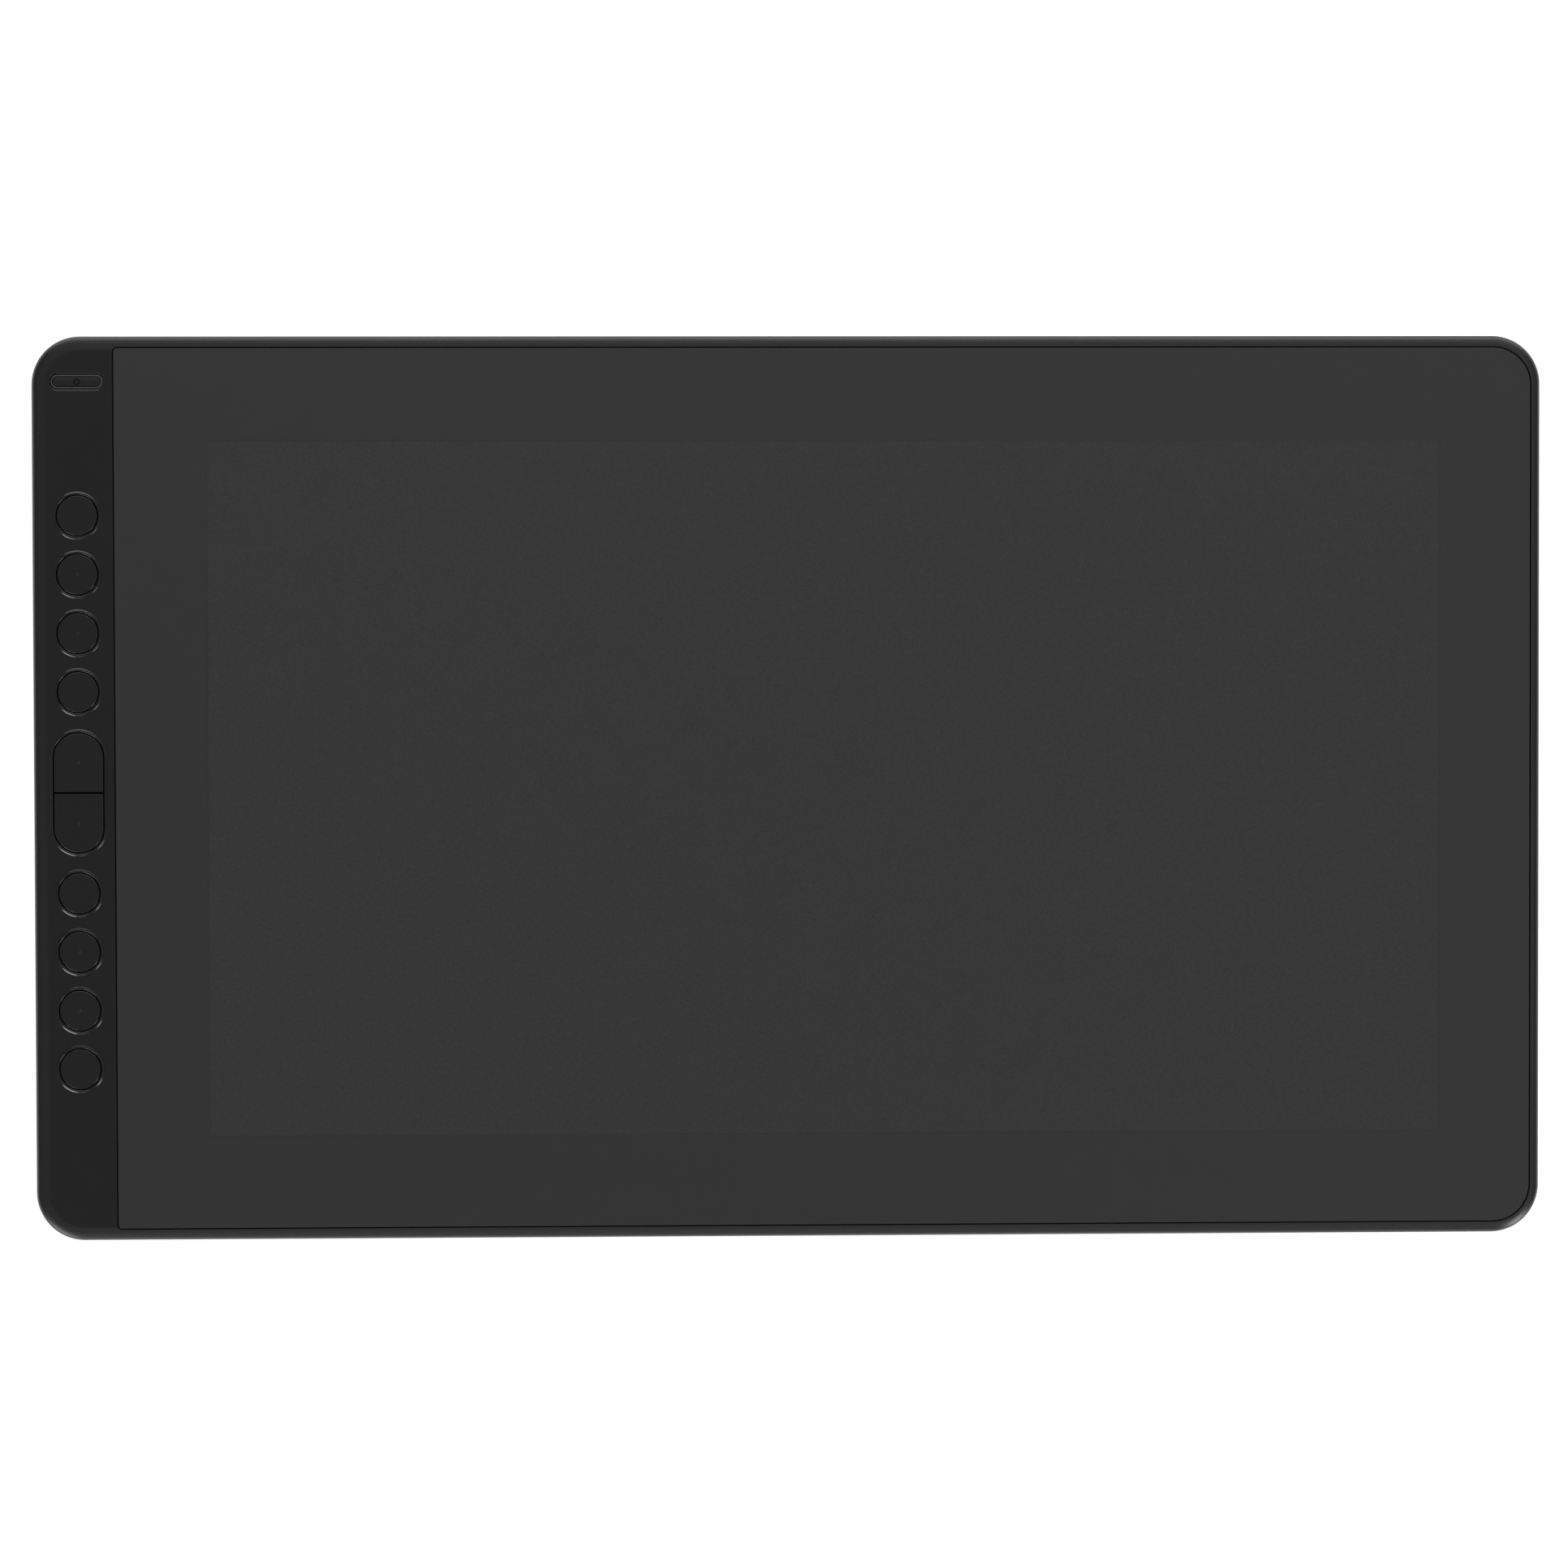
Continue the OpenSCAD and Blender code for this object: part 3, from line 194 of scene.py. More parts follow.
def grained(name, dark, light, rough_low, rough_high, grain, depth, metal=0.0, specular=0.5):
    """A finish with a fine grain: its colour, gloss and surface all vary a little."""
    noise_low = 0.3
    noise_high = 0.7
    broad_ratio = 40
    finish = bpy.data.materials.new(name)
    finish.use_nodes = True
    tree = finish.node_tree
    shader = tree.nodes["Principled BSDF"]
    shader.inputs["Metallic"].default_value = metal
    shader.inputs["Specular IOR Level"].default_value = specular
    place = tree.nodes.new("ShaderNodeTexCoord")
    fine = tree.nodes.new("ShaderNodeTexNoise")
    fine.inputs["Scale"].default_value = 1 / grain
    fine.inputs["Detail"].default_value = 3
    broad = tree.nodes.new("ShaderNodeTexNoise")
    broad.inputs["Scale"].default_value = 1 / (broad_ratio * grain)
    broad.inputs["Detail"].default_value = 4
    tint = tree.nodes.new("ShaderNodeValToRGB")
    tint.color_ramp.elements[0].position = noise_low
    tint.color_ramp.elements[1].position = noise_high
    tint.color_ramp.elements[0].color = (*dark, 1)
    tint.color_ramp.elements[1].color = (*light, 1)
    gloss = tree.nodes.new("ShaderNodeMapRange")
    gloss.inputs["From Min"].default_value = noise_low
    gloss.inputs["From Max"].default_value = noise_high
    gloss.inputs["To Min"].default_value = rough_low
    gloss.inputs["To Max"].default_value = rough_high
    relief = tree.nodes.new("ShaderNodeBump")
    relief.inputs["Strength"].default_value = 1
    relief.inputs["Distance"].default_value = depth
    link = tree.links.new
    link(place.outputs["Object"], fine.inputs["Vector"])
    link(place.outputs["Object"], broad.inputs["Vector"])
    link(fine.outputs["Fac"], tint.inputs["Fac"])
    link(broad.outputs["Fac"], gloss.inputs["Value"])
    link(fine.outputs["Fac"], relief.inputs["Height"])
    link(tint.outputs["Color"], shader.inputs["Base Color"])
    link(gloss.outputs["Result"], shader.inputs["Roughness"])
    link(relief.outputs["Normal"], shader.inputs["Normal"])
    return finish


def grey(level):
    """A neutral grey, as the shader takes it."""
    return (level, level, level)


def dress(piece, finish, body):
    """Gives a new piece its finish and body, and names its mesh after it."""
    piece.data.materials.clear()
    piece.data.materials.append(finish)
    piece.data.name = piece.name
    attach(piece, body)


housing_black = grained(
    "housing_black", grey(0.0065), grey(0.0135), 0.31, 0.33, 0.24 * mm, 0.009 * mm
)
wall_post_xs = (-181.05 * mm, -60.35 * mm, 60.35 * mm, 181.05 * mm)
wall_post_y = 121.0 * mm
end_post_x = 205.85 * mm
end_post_y = 40.0 * mm
strip_post_x = -198.35 * mm
strip_post_ys = (94.88 * mm, -96.68 * mm)
foot_x = 169.05 * mm
foot_y = 106.2 * mm
board_post_xs = (149.3 * mm, 203.3 * mm)
board_post_ys = (66.7 * mm, 108.7 * mm)
wall_post_places = [(x, side * wall_post_y) for x in wall_post_xs for side in (-1, 1)]
wall_post_places += [(end_post_x, side * end_post_y) for side in (-1, 1)]
strip_post_places = [(strip_post_x, y) for y in strip_post_ys]
post_places = wall_post_places + strip_post_places
foot_places = {
    f"{row}_{end}": (sx * foot_x, sy * foot_y)
    for row, sy in (("near", -1), ("far", 1)) for end, sx in (("left", -1), ("right", 1))
}
board_post_places = [(x, y) for x in board_post_xs for y in board_post_ys]
post_r = 2.7 * mm
seat_r = 2.0 * mm
seat_depth = 1.6 * mm
shank_hole_r = 1.15 * mm
board_post_r = 2.2 * mm
board_post_h = 1.0 * mm
board_drill_r = 0.75 * mm
z_board_drill = 2.2 * mm
lip_gap = 0.15 * mm
z_root = z_floor - lip_gap
lip_t = 1.0 * mm
notch_near = 75.0 * mm
notch_far = 100.4 * mm
rib_t = 1.0 * mm
rib_h = 0.7 * mm
pocket_gap = 0.1 * mm
pocket_depth = 0.6 * mm
foot_l = 44.0 * mm
foot_w = 9.0 * mm

rear_shell = round_block(
    "rear_shell", (-half_w, -half_d, z_back), (half_w, half_d, z_part), [outline_r] * 4
)
round_edges(rear_shell, lambda a, b: max(a.z, b.z) < z_back + tiny, rear_edge_r, steps=12)
round_edges(rear_shell, lambda a, b: min(a.z, b.z) > z_part - tiny, parting_r, steps=3)
inside = round_block(
    "inside", (wall - half_w, wall - half_d, z_floor), (half_w - wall, half_d - wall, z_post),
    [outline_r - wall] * 4,
)
combine(rear_shell, inside, "DIFFERENCE")
lip_in = wall + lip_gap
lip = round_block(
    "lip", (lip_in - half_w, lip_in - half_d, z_root), (half_w - lip_in, half_d - lip_in, z_lip),
    [outline_r - lip_in] * 4,
)
lip_in = lip_in + lip_t
hollow = round_block(
    "hollow", (lip_in - half_w, lip_in - half_d, 0), (half_w - lip_in, half_d - lip_in, z_post),
    [outline_r - lip_in] * 4,
)
combine(lip, hollow, "DIFFERENCE")
socket_notch = start_block(
    "socket_notch", (half_w - lip_in - past, notch_near, 0), (half_w, notch_far, z_post)
)
combine(lip, socket_notch, "DIFFERENCE")
combine(rear_shell, lip, "UNION")
span_x = half_w - wall - lip_gap
span_y = half_d - wall - lip_gap
rib_top = z_floor + rib_h
ribs = [
    start_block("rib", (-span_x, y - rib_t / 2, z_root), (span_x, y + rib_t / 2, rib_top))
    for y in (-span_y / 2, 0, span_y / 2)
]
ribs += [
    start_block("rib", (x - rib_t / 2, -span_y, z_root), (x + rib_t / 2, span_y, rib_top))
    for x in (-span_x * 2 / 3, -span_x / 3, 0, span_x / 3, span_x * 2 / 3)
]
for rib in ribs:
    combine(rear_shell, rib, "UNION")
posts = [start_rod("post", place, post_r, z_root, z_post, round_sides) for place in post_places]
posts += [
    start_rod("post", place, board_post_r, z_root, z_floor + board_post_h, round_sides)
    for place in board_post_places
]
combine(rear_shell, join_up(posts), "UNION")
z_seat = z_back + seat_depth
drills = [start_rod("drill", place, seat_r, 0, z_seat, fine_sides) for place in post_places]
combine(rear_shell, join_up(drills), "DIFFERENCE")
drills = [
    start_rod("drill", place, shank_hole_r, z_back, z_post + past, round_sides)
    for place in post_places
]
drills += [
    start_rod("drill", place, board_drill_r, z_board_drill, z_post, round_sides)
    for place in board_post_places
]
combine(rear_shell, join_up(drills), "DIFFERENCE")
pockets = [
    start_pill(
        "pocket", place, foot_w + 2 * pocket_gap, foot_l + 2 * pocket_gap,
        0, z_back + pocket_depth, "X",
    )
    for place in foot_places.values()
]
combine(rear_shell, join_up(pockets), "DIFFERENCE")
finish_faces(rear_shell)
dress(rear_shell, housing_black, "housing")
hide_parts("rear_cover")

# Feet: four moulded rubber strips, pressed and glued into the rear cover's pockets.
# Their soles stand one millimetre proud, with a softened edge and a shallow tread.
foot_top = z_back + pocket_depth
sole_edge = 0.45 * mm
tread_depth = 0.12 * mm
tread_w = 0.9 * mm
tread_pitch = 1.9 * mm
tread_sides = 24
foot_black = grained(
    "foot_black", grey(0.008), grey(0.013), 0.68, 0.8, 0.25 * mm, 0.03 * mm, specular=0.35
)
for corner, place in foot_places.items():
    foot = start_pill(f"rubber_foot_{corner}", place, foot_w, foot_l, 0, foot_top, "X", fine_sides)
    round_edges(foot, lambda a, b: max(a.z, b.z) < tiny, sole_edge)
    treads = [
        start_pill(
            "tread", (place[0], place[1] + row * tread_pitch), tread_w, foot_l - foot_w + tread_w,
            -past, tread_depth, "X", tread_sides,
        )
        for row in (-1, 0, 1)
    ]
    combine(foot, join_up(treads), "DIFFERENCE")
    finish_faces(foot)
    dress(foot, foot_black, "housing")
    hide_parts(f"foot_{corner}")

# Main board: a glass-fibre board with its chips, screwed on four posts of the rear cover.
# The chips are cast in matt black resin, and the cable connectors are ivory nylon.


def dress_node(name, finish):
    """Gives a CAD node that stays a finish."""
    nodes[name].data.materials.clear()
    nodes[name].data.materials.append(finish)


board_green = grained(
    "board_green", (0.012, 0.062, 0.03), (0.018, 0.085, 0.042), 0.32, 0.5, 0.6 * mm, 0.01 * mm
)
chip_resin = grained("chip_resin", grey(0.01), grey(0.016), 0.5, 0.62, 0.1 * mm, 0.006 * mm)
connector_ivory = grained(
    "connector_ivory", (0.66, 0.62, 0.5), (0.74, 0.7, 0.58), 0.45, 0.55, 0.3 * mm, 0.004 * mm
)
screw_steel = grained(
    "screw_steel", grey(0.09), grey(0.13), 0.34, 0.46, 0.2 * mm, 0.004 * mm, metal=1.0
)
dress_node("main_board", board_green)
dress_node("main_board_chips", chip_resin)
dress_node("main_board_screws", screw_steel)
dress_node("cable_connectors", connector_ivory)

# USB sockets: two drawn stainless shells soldered to the main board, open at the right side.
# Each holds a black moulded tongue with a row of gilt contacts on both faces.
usb_places = {"far": 95.2 * mm, "near": 80.2 * mm}
usb_z = 6.13 * mm
contact_back = 206.2 * mm
contact_front = 209.2 * mm
contact_count = 12
contact_pitch = 0.5 * mm
contact_half_w = 0.12 * mm
contact_half_t = 0.03 * mm
contact_edge_r = 0.02 * mm
tongue_half_t = 0.35 * mm
shell_steel = grained(
    "shell_steel", grey(0.52), grey(0.6), 0.24, 0.34, 0.4 * mm, 0.002 * mm, metal=1.0
)
contact_gilt = grained(
    "contact_gilt", (0.72, 0.5, 0.2), (0.82, 0.58, 0.25), 0.25, 0.35, 0.2 * mm, 0.001 * mm,
    metal=1.0,
)
for side, y in usb_places.items():
    dress_node(f"usb_shell_{side}", shell_steel)
    contacts = []
    for face in (-1, 1):
        for i in range(contact_count):
            centre = y + (i - (contact_count - 1) / 2) * contact_pitch
            level = usb_z + face * tongue_half_t
            contacts.append(start_block(
                "contact", (contact_back, centre - contact_half_w, level - contact_half_t),
                (contact_front, centre + contact_half_w, level + contact_half_t),
            ))
    row = join_up(contacts)
    row.name = f"socket_contacts_{side}"
    round_edges(row, lambda a, b: min(a.x, b.x) > contact_front - tiny, contact_edge_r, steps=2)
    dress(row, contact_gilt, "housing")
dress_node("usb_tongues", chip_resin)

# Support tray, shield and pen-sensing board: a pressed steel pan screwed under the frame's
# ledge, which carries a foil shield and the board whose loops find the pen.
tray_steel = grained(
    "tray_steel", grey(0.42), grey(0.5), 0.3, 0.42, 0.5 * mm, 0.003 * mm, metal=1.0
)
shield_foil = grained(
    "shield_foil", grey(0.55), grey(0.62), 0.28, 0.36, 0.8 * mm, 0.004 * mm, metal=1.0
)
dress_node("support_tray", tray_steel)
dress_node("tray_screws", screw_steel)
dress_node("shield_sheet", shield_foil)
dress_node("digitizer_board", board_green)

# Display panel: a backlit liquid crystal panel in a thin steel tray, bonded under the glass.
# A reflector, light guide and films lie in a white moulded frame beside a bar of LEDs, and the
# cell on top is driven by a narrow board through amber flexes.
film_white = grained("film_white", grey(0.78), grey(0.84), 0.4, 0.5, 0.5 * mm, 0.002 * mm)
guide_clear = grained(
    "guide_clear", (0.7, 0.75, 0.75), (0.76, 0.8, 0.8), 0.08, 0.14, 0.5 * mm, 0.001 * mm
)
led_yellow = grained(
    "led_yellow", (0.7, 0.64, 0.36), (0.8, 0.74, 0.45), 0.35, 0.45, 0.3 * mm, 0.002 * mm
)
cell_dark = grained(
    "cell_dark", (0.018, 0.019, 0.022), (0.022, 0.023, 0.027), 0.2, 0.26, 0.25 * mm, 0.001 * mm
)
flex_amber = grained(
    "flex_amber", (0.3, 0.13, 0.02), (0.38, 0.17, 0.03), 0.3, 0.4, 0.4 * mm, 0.003 * mm
)
tape_black = grained("tape_black", grey(0.02), grey(0.03), 0.75, 0.85, 0.2 * mm, 0.02 * mm)
for name, finish in (
    ("backlight_tray", tray_steel), ("panel_frame", film_white), ("reflector_film", film_white),
    ("light_guide", guide_clear), ("optical_films", film_white), ("led_bar", led_yellow),
    ("lcd_cell", cell_dark), ("driver_board", board_green), ("panel_flexes", flex_amber),
    ("optical_adhesive", guide_clear), ("glass_tape", tape_black),
):
    dress_node(name, finish)

# Key board and cables: a long narrow black board, screwed to posts under the key panel, with
# eleven tact switches and the power LED. Three ribbon cables lead to the main board.
key_count = 8
switch_black = grained("switch_black", grey(0.014), grey(0.02), 0.45, 0.55, 0.15 * mm, 0.005 * mm)
board_black = grained("board_black", grey(0.006), grey(0.009), 0.36, 0.5, 0.6 * mm, 0.01 * mm)
plunger_ivory = grained(
    "plunger_ivory", (0.6, 0.56, 0.46), (0.66, 0.62, 0.52), 0.4, 0.5, 0.2 * mm, 0.003 * mm
)
ribbon_white = grained(
    "ribbon_white", (0.7, 0.7, 0.66), (0.76, 0.76, 0.72), 0.35, 0.45, 0.5 * mm, 0.003 * mm
)
for name, finish in (
    ("key_board", board_black), ("key_board_screws", screw_steel), ("key_switches", switch_black),
    ("power_led", led_yellow), ("key_cable", ribbon_white), ("panel_cable", ribbon_white),
    ("digitizer_cable", ribbon_white), ("rocker_far_plunger", plunger_ivory),
    ("rocker_near_plunger", plunger_ivory), ("power_plunger", plunger_ivory),
):
    dress_node(name, finish)
for i in range(1, key_count + 1):
    dress_node(f"key_{i}_plunger", plunger_ivory)

# Front frame: one moulding in black ABS with a crowned rim, a ledged well for the glass and the
# key panel at its left, held by the rear cover's screws in the posts that hang under it.
# Low collars with sloped flanks stand round the keys, and a ledge is sunk round the power key.
z_top = 12.5 * mm
z_under = 9.4 * mm
z_panel = 10.7 * mm
z_ledge = 11.0 * mm
z_flange = 9.9 * mm
top_edge_r = 1.9 * mm
crown_r = 7.4 * mm
crown_slope = 28
crown_w = top_edge_r + (crown_r - top_edge_r) * math.sin(math.radians(crown_slope))
edge_slopes = (90, 83, 76, 69, 62, 55, 48, 41, 34)
crown_slopes = (crown_slope, 24, 20, 16.5, 8, 5, 2.5, 0)
glass_x = 9.95 * mm
glass_half_w = 198.0 * mm
glass_half_d = 122.7 * mm
glass_gap = 0.4 * mm
glass_inner_r = 1.0 * mm
glass_outer_r = 10.4 * mm
glass_corners = (glass_inner_r, glass_outer_r, glass_outer_r, glass_inner_r)
well_edge_r = 0.08 * mm
key_x = -198.35 * mm
column_y = -0.9 * mm
key_first = 28.05 * mm
key_pitch = 16.37 * mm
key_ys = [column_y + key_first + i * key_pitch for i in (3, 2, 1, 0)]
key_ys += [column_y - key_first - i * key_pitch for i in (0, 1, 2, 3)]
power_y = 113.5 * mm
key_hole_r = 5.9 * mm
rocker_hole_w = 14.3 * mm
rocker_hole_l = 33.9 * mm
rocker_run = (rocker_hole_l - rocker_hole_w) / 2
power_hole_w = 4.1 * mm
power_hole_l = 14.7 * mm
hole_sides = 96
collar_h = 0.25 * mm
collar_land = 0.42 * mm
collar_flank = 0.36 * mm
collar_root = 0.05 * mm
crest_edge_r = 0.05 * mm
hole_edge_r = 0.3 * mm
power_ledge = 0.3 * mm
power_end_ledge = 0.06 * mm
power_flare = 0.14 * mm
power_flare_depth = 0.084 * mm
usb_slot_w = 3.76 * mm
usb_slot_l = 9.44 * mm
usb_edge_r = 0.3 * mm
sunk = 0.3 * mm
close_by = 10 * tiny
level_face = 0.999
frame_smooth = 29
edge_black = grained(
    "edge_black", grey(0.0065), grey(0.0135), 0.19, 0.21, 0.24 * mm, 0.002 * mm
)


def pick_face(piece, up):
    """Opens piece with its face that lies furthest up, or furthest down, picked."""
    form = open_form(piece, "FACE")
    form.faces.ensure_lookup_table()
    flat = [face for face in form.faces if face.normal.z * up > level_face]
    best = max(flat, key=lambda face: face.calc_center_median().z * up)
    best.select_set(True)
    bmesh.update_edit_mesh(piece.data)


def step_in(inward, height):
    """Insets the picked face and raises it, which leaves a sloped band round it."""
    bpy.ops.mesh.inset(thickness=inward)
    bpy.ops.transform.translate(value=(0, 0, height))


crown_line = []
for slope in edge_slopes:
    lean = math.radians(slope)
    rise = (crown_r - top_edge_r) * math.cos(math.radians(crown_slope)) - crown_r
    crown_line.append((
        top_edge_r * (1 - math.sin(lean)), z_top + rise + top_edge_r * math.cos(lean)
    ))
for slope in crown_slopes:
    lean = math.radians(slope)
    crown_line.append((crown_w - crown_r * math.sin(lean), z_top - crown_r * (1 - math.cos(lean))))
front_shell = round_block(
    "front_shell", (-half_w, -half_d, z_part), (half_w, half_d, crown_line[0][1]),
    [outline_r] * 4,
)
pick_face(front_shell, 1)
for (inset_from, low), (inset_to, high) in zip(crown_line, crown_line[1:]):
    step_in(inset_to - inset_from, high - low)
close_form()
round_edges(front_shell, lambda a, b: max(a.z, b.z) < z_part + tiny, parting_r)
well_x = glass_half_w + glass_gap
well_y = glass_half_d + glass_gap
well = round_block(
    "well", (glass_x - well_x, -well_y, z_ledge), (glass_x + well_x, well_y, z_top + past),
    [r + glass_gap for r in glass_corners],
)
combine(front_shell, well, "DIFFERENCE")
inside = round_block(
    "inside", (wall - half_w, wall - half_d, 0), (half_w - wall, half_d - wall, z_under),
    [outline_r - wall] * 4,
)
combine(front_shell, inside, "DIFFERENCE")
tray_half_w = 176.8 * mm
tray_near = -112.8 * mm
tray_far = 101.5 * mm
tray_corner_r = 3.0 * mm
tray_hole = round_block(
    "tray_hole", (glass_x - tray_half_w, tray_near, 0),
    (glass_x + tray_half_w, tray_far, z_top + past), [tray_corner_r] * 4, steps=8,
)
combine(front_shell, tray_hole, "DIFFERENCE")
pocket_wall = 1.2 * mm
pocket_corner_r = 0.2 * mm
pocket_right = glass_x - well_x - pocket_wall
key_pocket = round_block(
    "key_pocket", (wall - half_w, wall - half_d, z_under - past),
    (pocket_right, half_d - wall, z_panel),
    [outline_r - wall, pocket_corner_r, pocket_corner_r, outline_r - wall],
)
combine(front_shell, key_pocket, "DIFFERENCE")


def start_collar(place, hole_r, run):
    """A low mound with a sloped flank, rooted in the key panel, for a hole of that radius."""
    flank = collar_flank * (collar_h + collar_root) / collar_h
    mound_r = hole_r + collar_land + flank
    mound = start_rod("collar", place, mound_r, z_top - sunk, z_top - collar_root, hole_sides)
    if run > 0:
        pull_apart(mound, place, "Y", run)
    pick_face(mound, 1)
    step_in(flank, collar_h + collar_root)
    close_form()
    round_edges(mound, lambda a, b: min(a.z, b.z) > z_top, crest_edge_r, steps=2)
    return mound


rocker_place = (key_x, column_y)
collars = [start_collar((key_x, y), key_hole_r, 0) for y in key_ys]
collars.append(start_collar(rocker_place, rocker_hole_w / 2, rocker_run))
combine(front_shell, join_up(collars), "UNION")
holes = [
    start_rod("hole", (key_x, y), key_hole_r, z_under, z_top + past, hole_sides) for y in key_ys
]
holes.append(start_pill(
    "hole", rocker_place, rocker_hole_w, rocker_hole_l, z_under, z_top + past, "Y", hole_sides
))
holes.append(start_pill(
    "hole", (key_x, power_y), power_hole_w, power_hole_l, z_under, z_top + past, "X", hole_sides
))
combine(front_shell, join_up(holes), "DIFFERENCE")
flare = power_flare * (power_flare_depth + past) / power_flare_depth
countersink = start_pill(
    "countersink", (key_x, power_y), power_hole_w + 2 * (power_ledge + flare),
    power_hole_l + 2 * (power_end_ledge + flare), z_top + past, z_top + 2 * past, "X", hole_sides,
)
pick_face(countersink, -1)
step_in(flare, -power_flare_depth - past)
close_form()
combine(front_shell, countersink, "DIFFERENCE")
for y in usb_places.values():
    slot = start_pill("slot", (0, 0), usb_slot_w, usb_slot_l, -wall - past, past, "Y", fine_sides)
    slot.rotation_euler = (0, math.pi / 2, 0)
    slot.location = (half_w, y, usb_z)
    bpy.ops.object.transform_apply(location=True, rotation=True, scale=True)
    combine(front_shell, slot, "DIFFERENCE")


def hole_at(point):
    """Which round key's or rocker's hole has its edge at a point, if any."""
    for number, y in enumerate(key_ys, start=1):
        if abs(math.hypot(point.x - key_x, point.y - y) - key_hole_r) < close_by:
            return number
    beyond = max(abs(point.y - column_y) - rocker_run, 0)
    if abs(math.hypot(point.x - key_x, beyond) - rocker_hole_w / 2) < close_by:
        return "rocker"
    return None


def at_well(point):
    """A point of the top face on the edge of the glass's well."""
    corner = glass_gap + (glass_outer_r if point.x > glass_x else glass_inner_r)
    x = abs(point.x - glass_x) - well_x + corner
    y = abs(point.y) - well_y + corner
    off = math.hypot(max(x, 0), max(y, 0)) + min(max(x, y), 0) - corner
    return abs(off) < close_by and point.z > z_top - 2 * sunk


def at_slot(point, y):
    """A point of the right side on the edge of a socket's slot."""
    along = abs(point.y - y) < usb_slot_l / 2 + tiny
    return along and abs(point.z - usb_z) < usb_slot_w / 2 + tiny and point.x > half_w - tiny


def in_flare(point):
    """A point on the sloped edge round the power key."""
    reach = power_ledge + power_flare
    beside = abs(point.x - key_x) < power_hole_l / 2 + reach
    level = abs(point.y - power_y) < power_hole_w / 2 + reach
    return beside and level and z_top - power_flare_depth + tiny < point.z < z_top - tiny


round_edges(
    front_shell,
    lambda a, b: min(a.z, b.z) > z_top + collar_h / 2 and hole_at(a) and hole_at(a) == hole_at(b),
    hole_edge_r, steps=8,
)
round_edges(front_shell, lambda a, b: at_well(a) and at_well(b), well_edge_r)
for y in usb_places.values():
    round_edges(front_shell, lambda a, b: at_slot(a, y) and at_slot(b, y), usb_edge_r)

rib_ys = [
    column_y + side * (key_first + (i + 0.5) * key_pitch) for side in (-1, 1) for i in range(3)
]
key_post_x = -203.55 * mm
key_post_r = 1.7 * mm
key_post_low = 7.0 * mm
power_post_off = 11.0 * mm
key_post_places = [(key_post_x, rib_ys[i]) for i in (0, 2, 3, 5)]
key_post_places.append((key_post_x, power_y - power_post_off))
ribs = [
    start_block(
        "rib", (wall / 2 - half_w, y - rib_t / 2, z_flange),
        (pocket_right + sunk, y + rib_t / 2, z_panel + sunk),
    )
    for y in rib_ys
]
combine(front_shell, join_up(ribs), "UNION")
hangers = [
    start_rod("post", place, post_r, z_post, z_under + sunk, round_sides)
    for place in wall_post_places
]
hangers += [
    start_rod("post", place, post_r, z_post, z_panel + sunk, round_sides)
    for place in strip_post_places
]
hangers += [
    start_rod("post", place, key_post_r, key_post_low, z_panel + sunk, round_sides)
    for place in key_post_places
]
combine(front_shell, join_up(hangers), "UNION")
thread_r = 1.0 * mm
thread_top = 8.3 * mm
key_thread_r = 0.7 * mm
key_thread_top = 9.3 * mm
tray_thread_r = 0.95 * mm
tray_thread_top = 10.6 * mm
tray_middle = (tray_near + tray_far) / 2
tray_half_d = (tray_far - tray_near) / 2
flange_mid = 2.85 * mm
tray_screw_in = 20.0 * mm
thread_sides = 32
tray_screw_places = [
    (glass_x + i * (tray_half_w - tray_screw_in), tray_middle + side * (tray_half_d + flange_mid))
    for i in (-1, 0, 1) for side in (-1, 1)
]
tray_screw_places += [
    (glass_x + side * (tray_half_w + flange_mid), tray_middle + i * tray_half_d / 2)
    for i in (-1, 1) for side in (-1, 1)
]
drills = [
    start_rod("drill", place, thread_r, z_part, thread_top, round_sides) for place in post_places
]
drills += [
    start_rod("drill", place, key_thread_r, z_part, key_thread_top, thread_sides)
    for place in key_post_places
]
drills += [
    start_rod("drill", place, tray_thread_r, z_part, tray_thread_top, thread_sides)
    for place in tray_screw_places
]
combine(front_shell, join_up(drills), "DIFFERENCE")
finish_faces(front_shell, frame_smooth)
dress(front_shell, housing_black, "housing")
front_shell.data.materials.append(edge_black)
for face in front_shell.data.polygons:
    if face.center.z > z_top + tiny or in_flare(face.center):
        face.material_index = 1
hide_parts("front_frame")

# Round keys: eight moulded caps in the frame's black, each with a flange under the key panel
# and a stem on its switch. Four of them carry a tactile dot.
key_r = 5.55 * mm
flange_r = 6.7 * mm
flange_t = 0.7 * mm
z_key_top = 12.75 * mm
z_stem = 9.5 * mm
stem_r = 1.3 * mm
key_wall = 1.0 * mm
key_edge_r = 0.2 * mm
dot_r = 0.45 * mm
dot_h = 0.1 * mm
dot_root = 0.1 * mm
dot_sides = 32
dot_rings = 48
dotted_keys = (2, 3, 6, 7)
key_black = grained(
    "key_black", grey(0.0065), grey(0.0135), 0.31, 0.33, 0.22 * mm, 0.008 * mm
)


def pull(height):
    """Extrudes the picked face by a height."""
    bpy.ops.mesh.extrude_region_move(TRANSFORM_OT_translate={"value": (0, 0, height)})


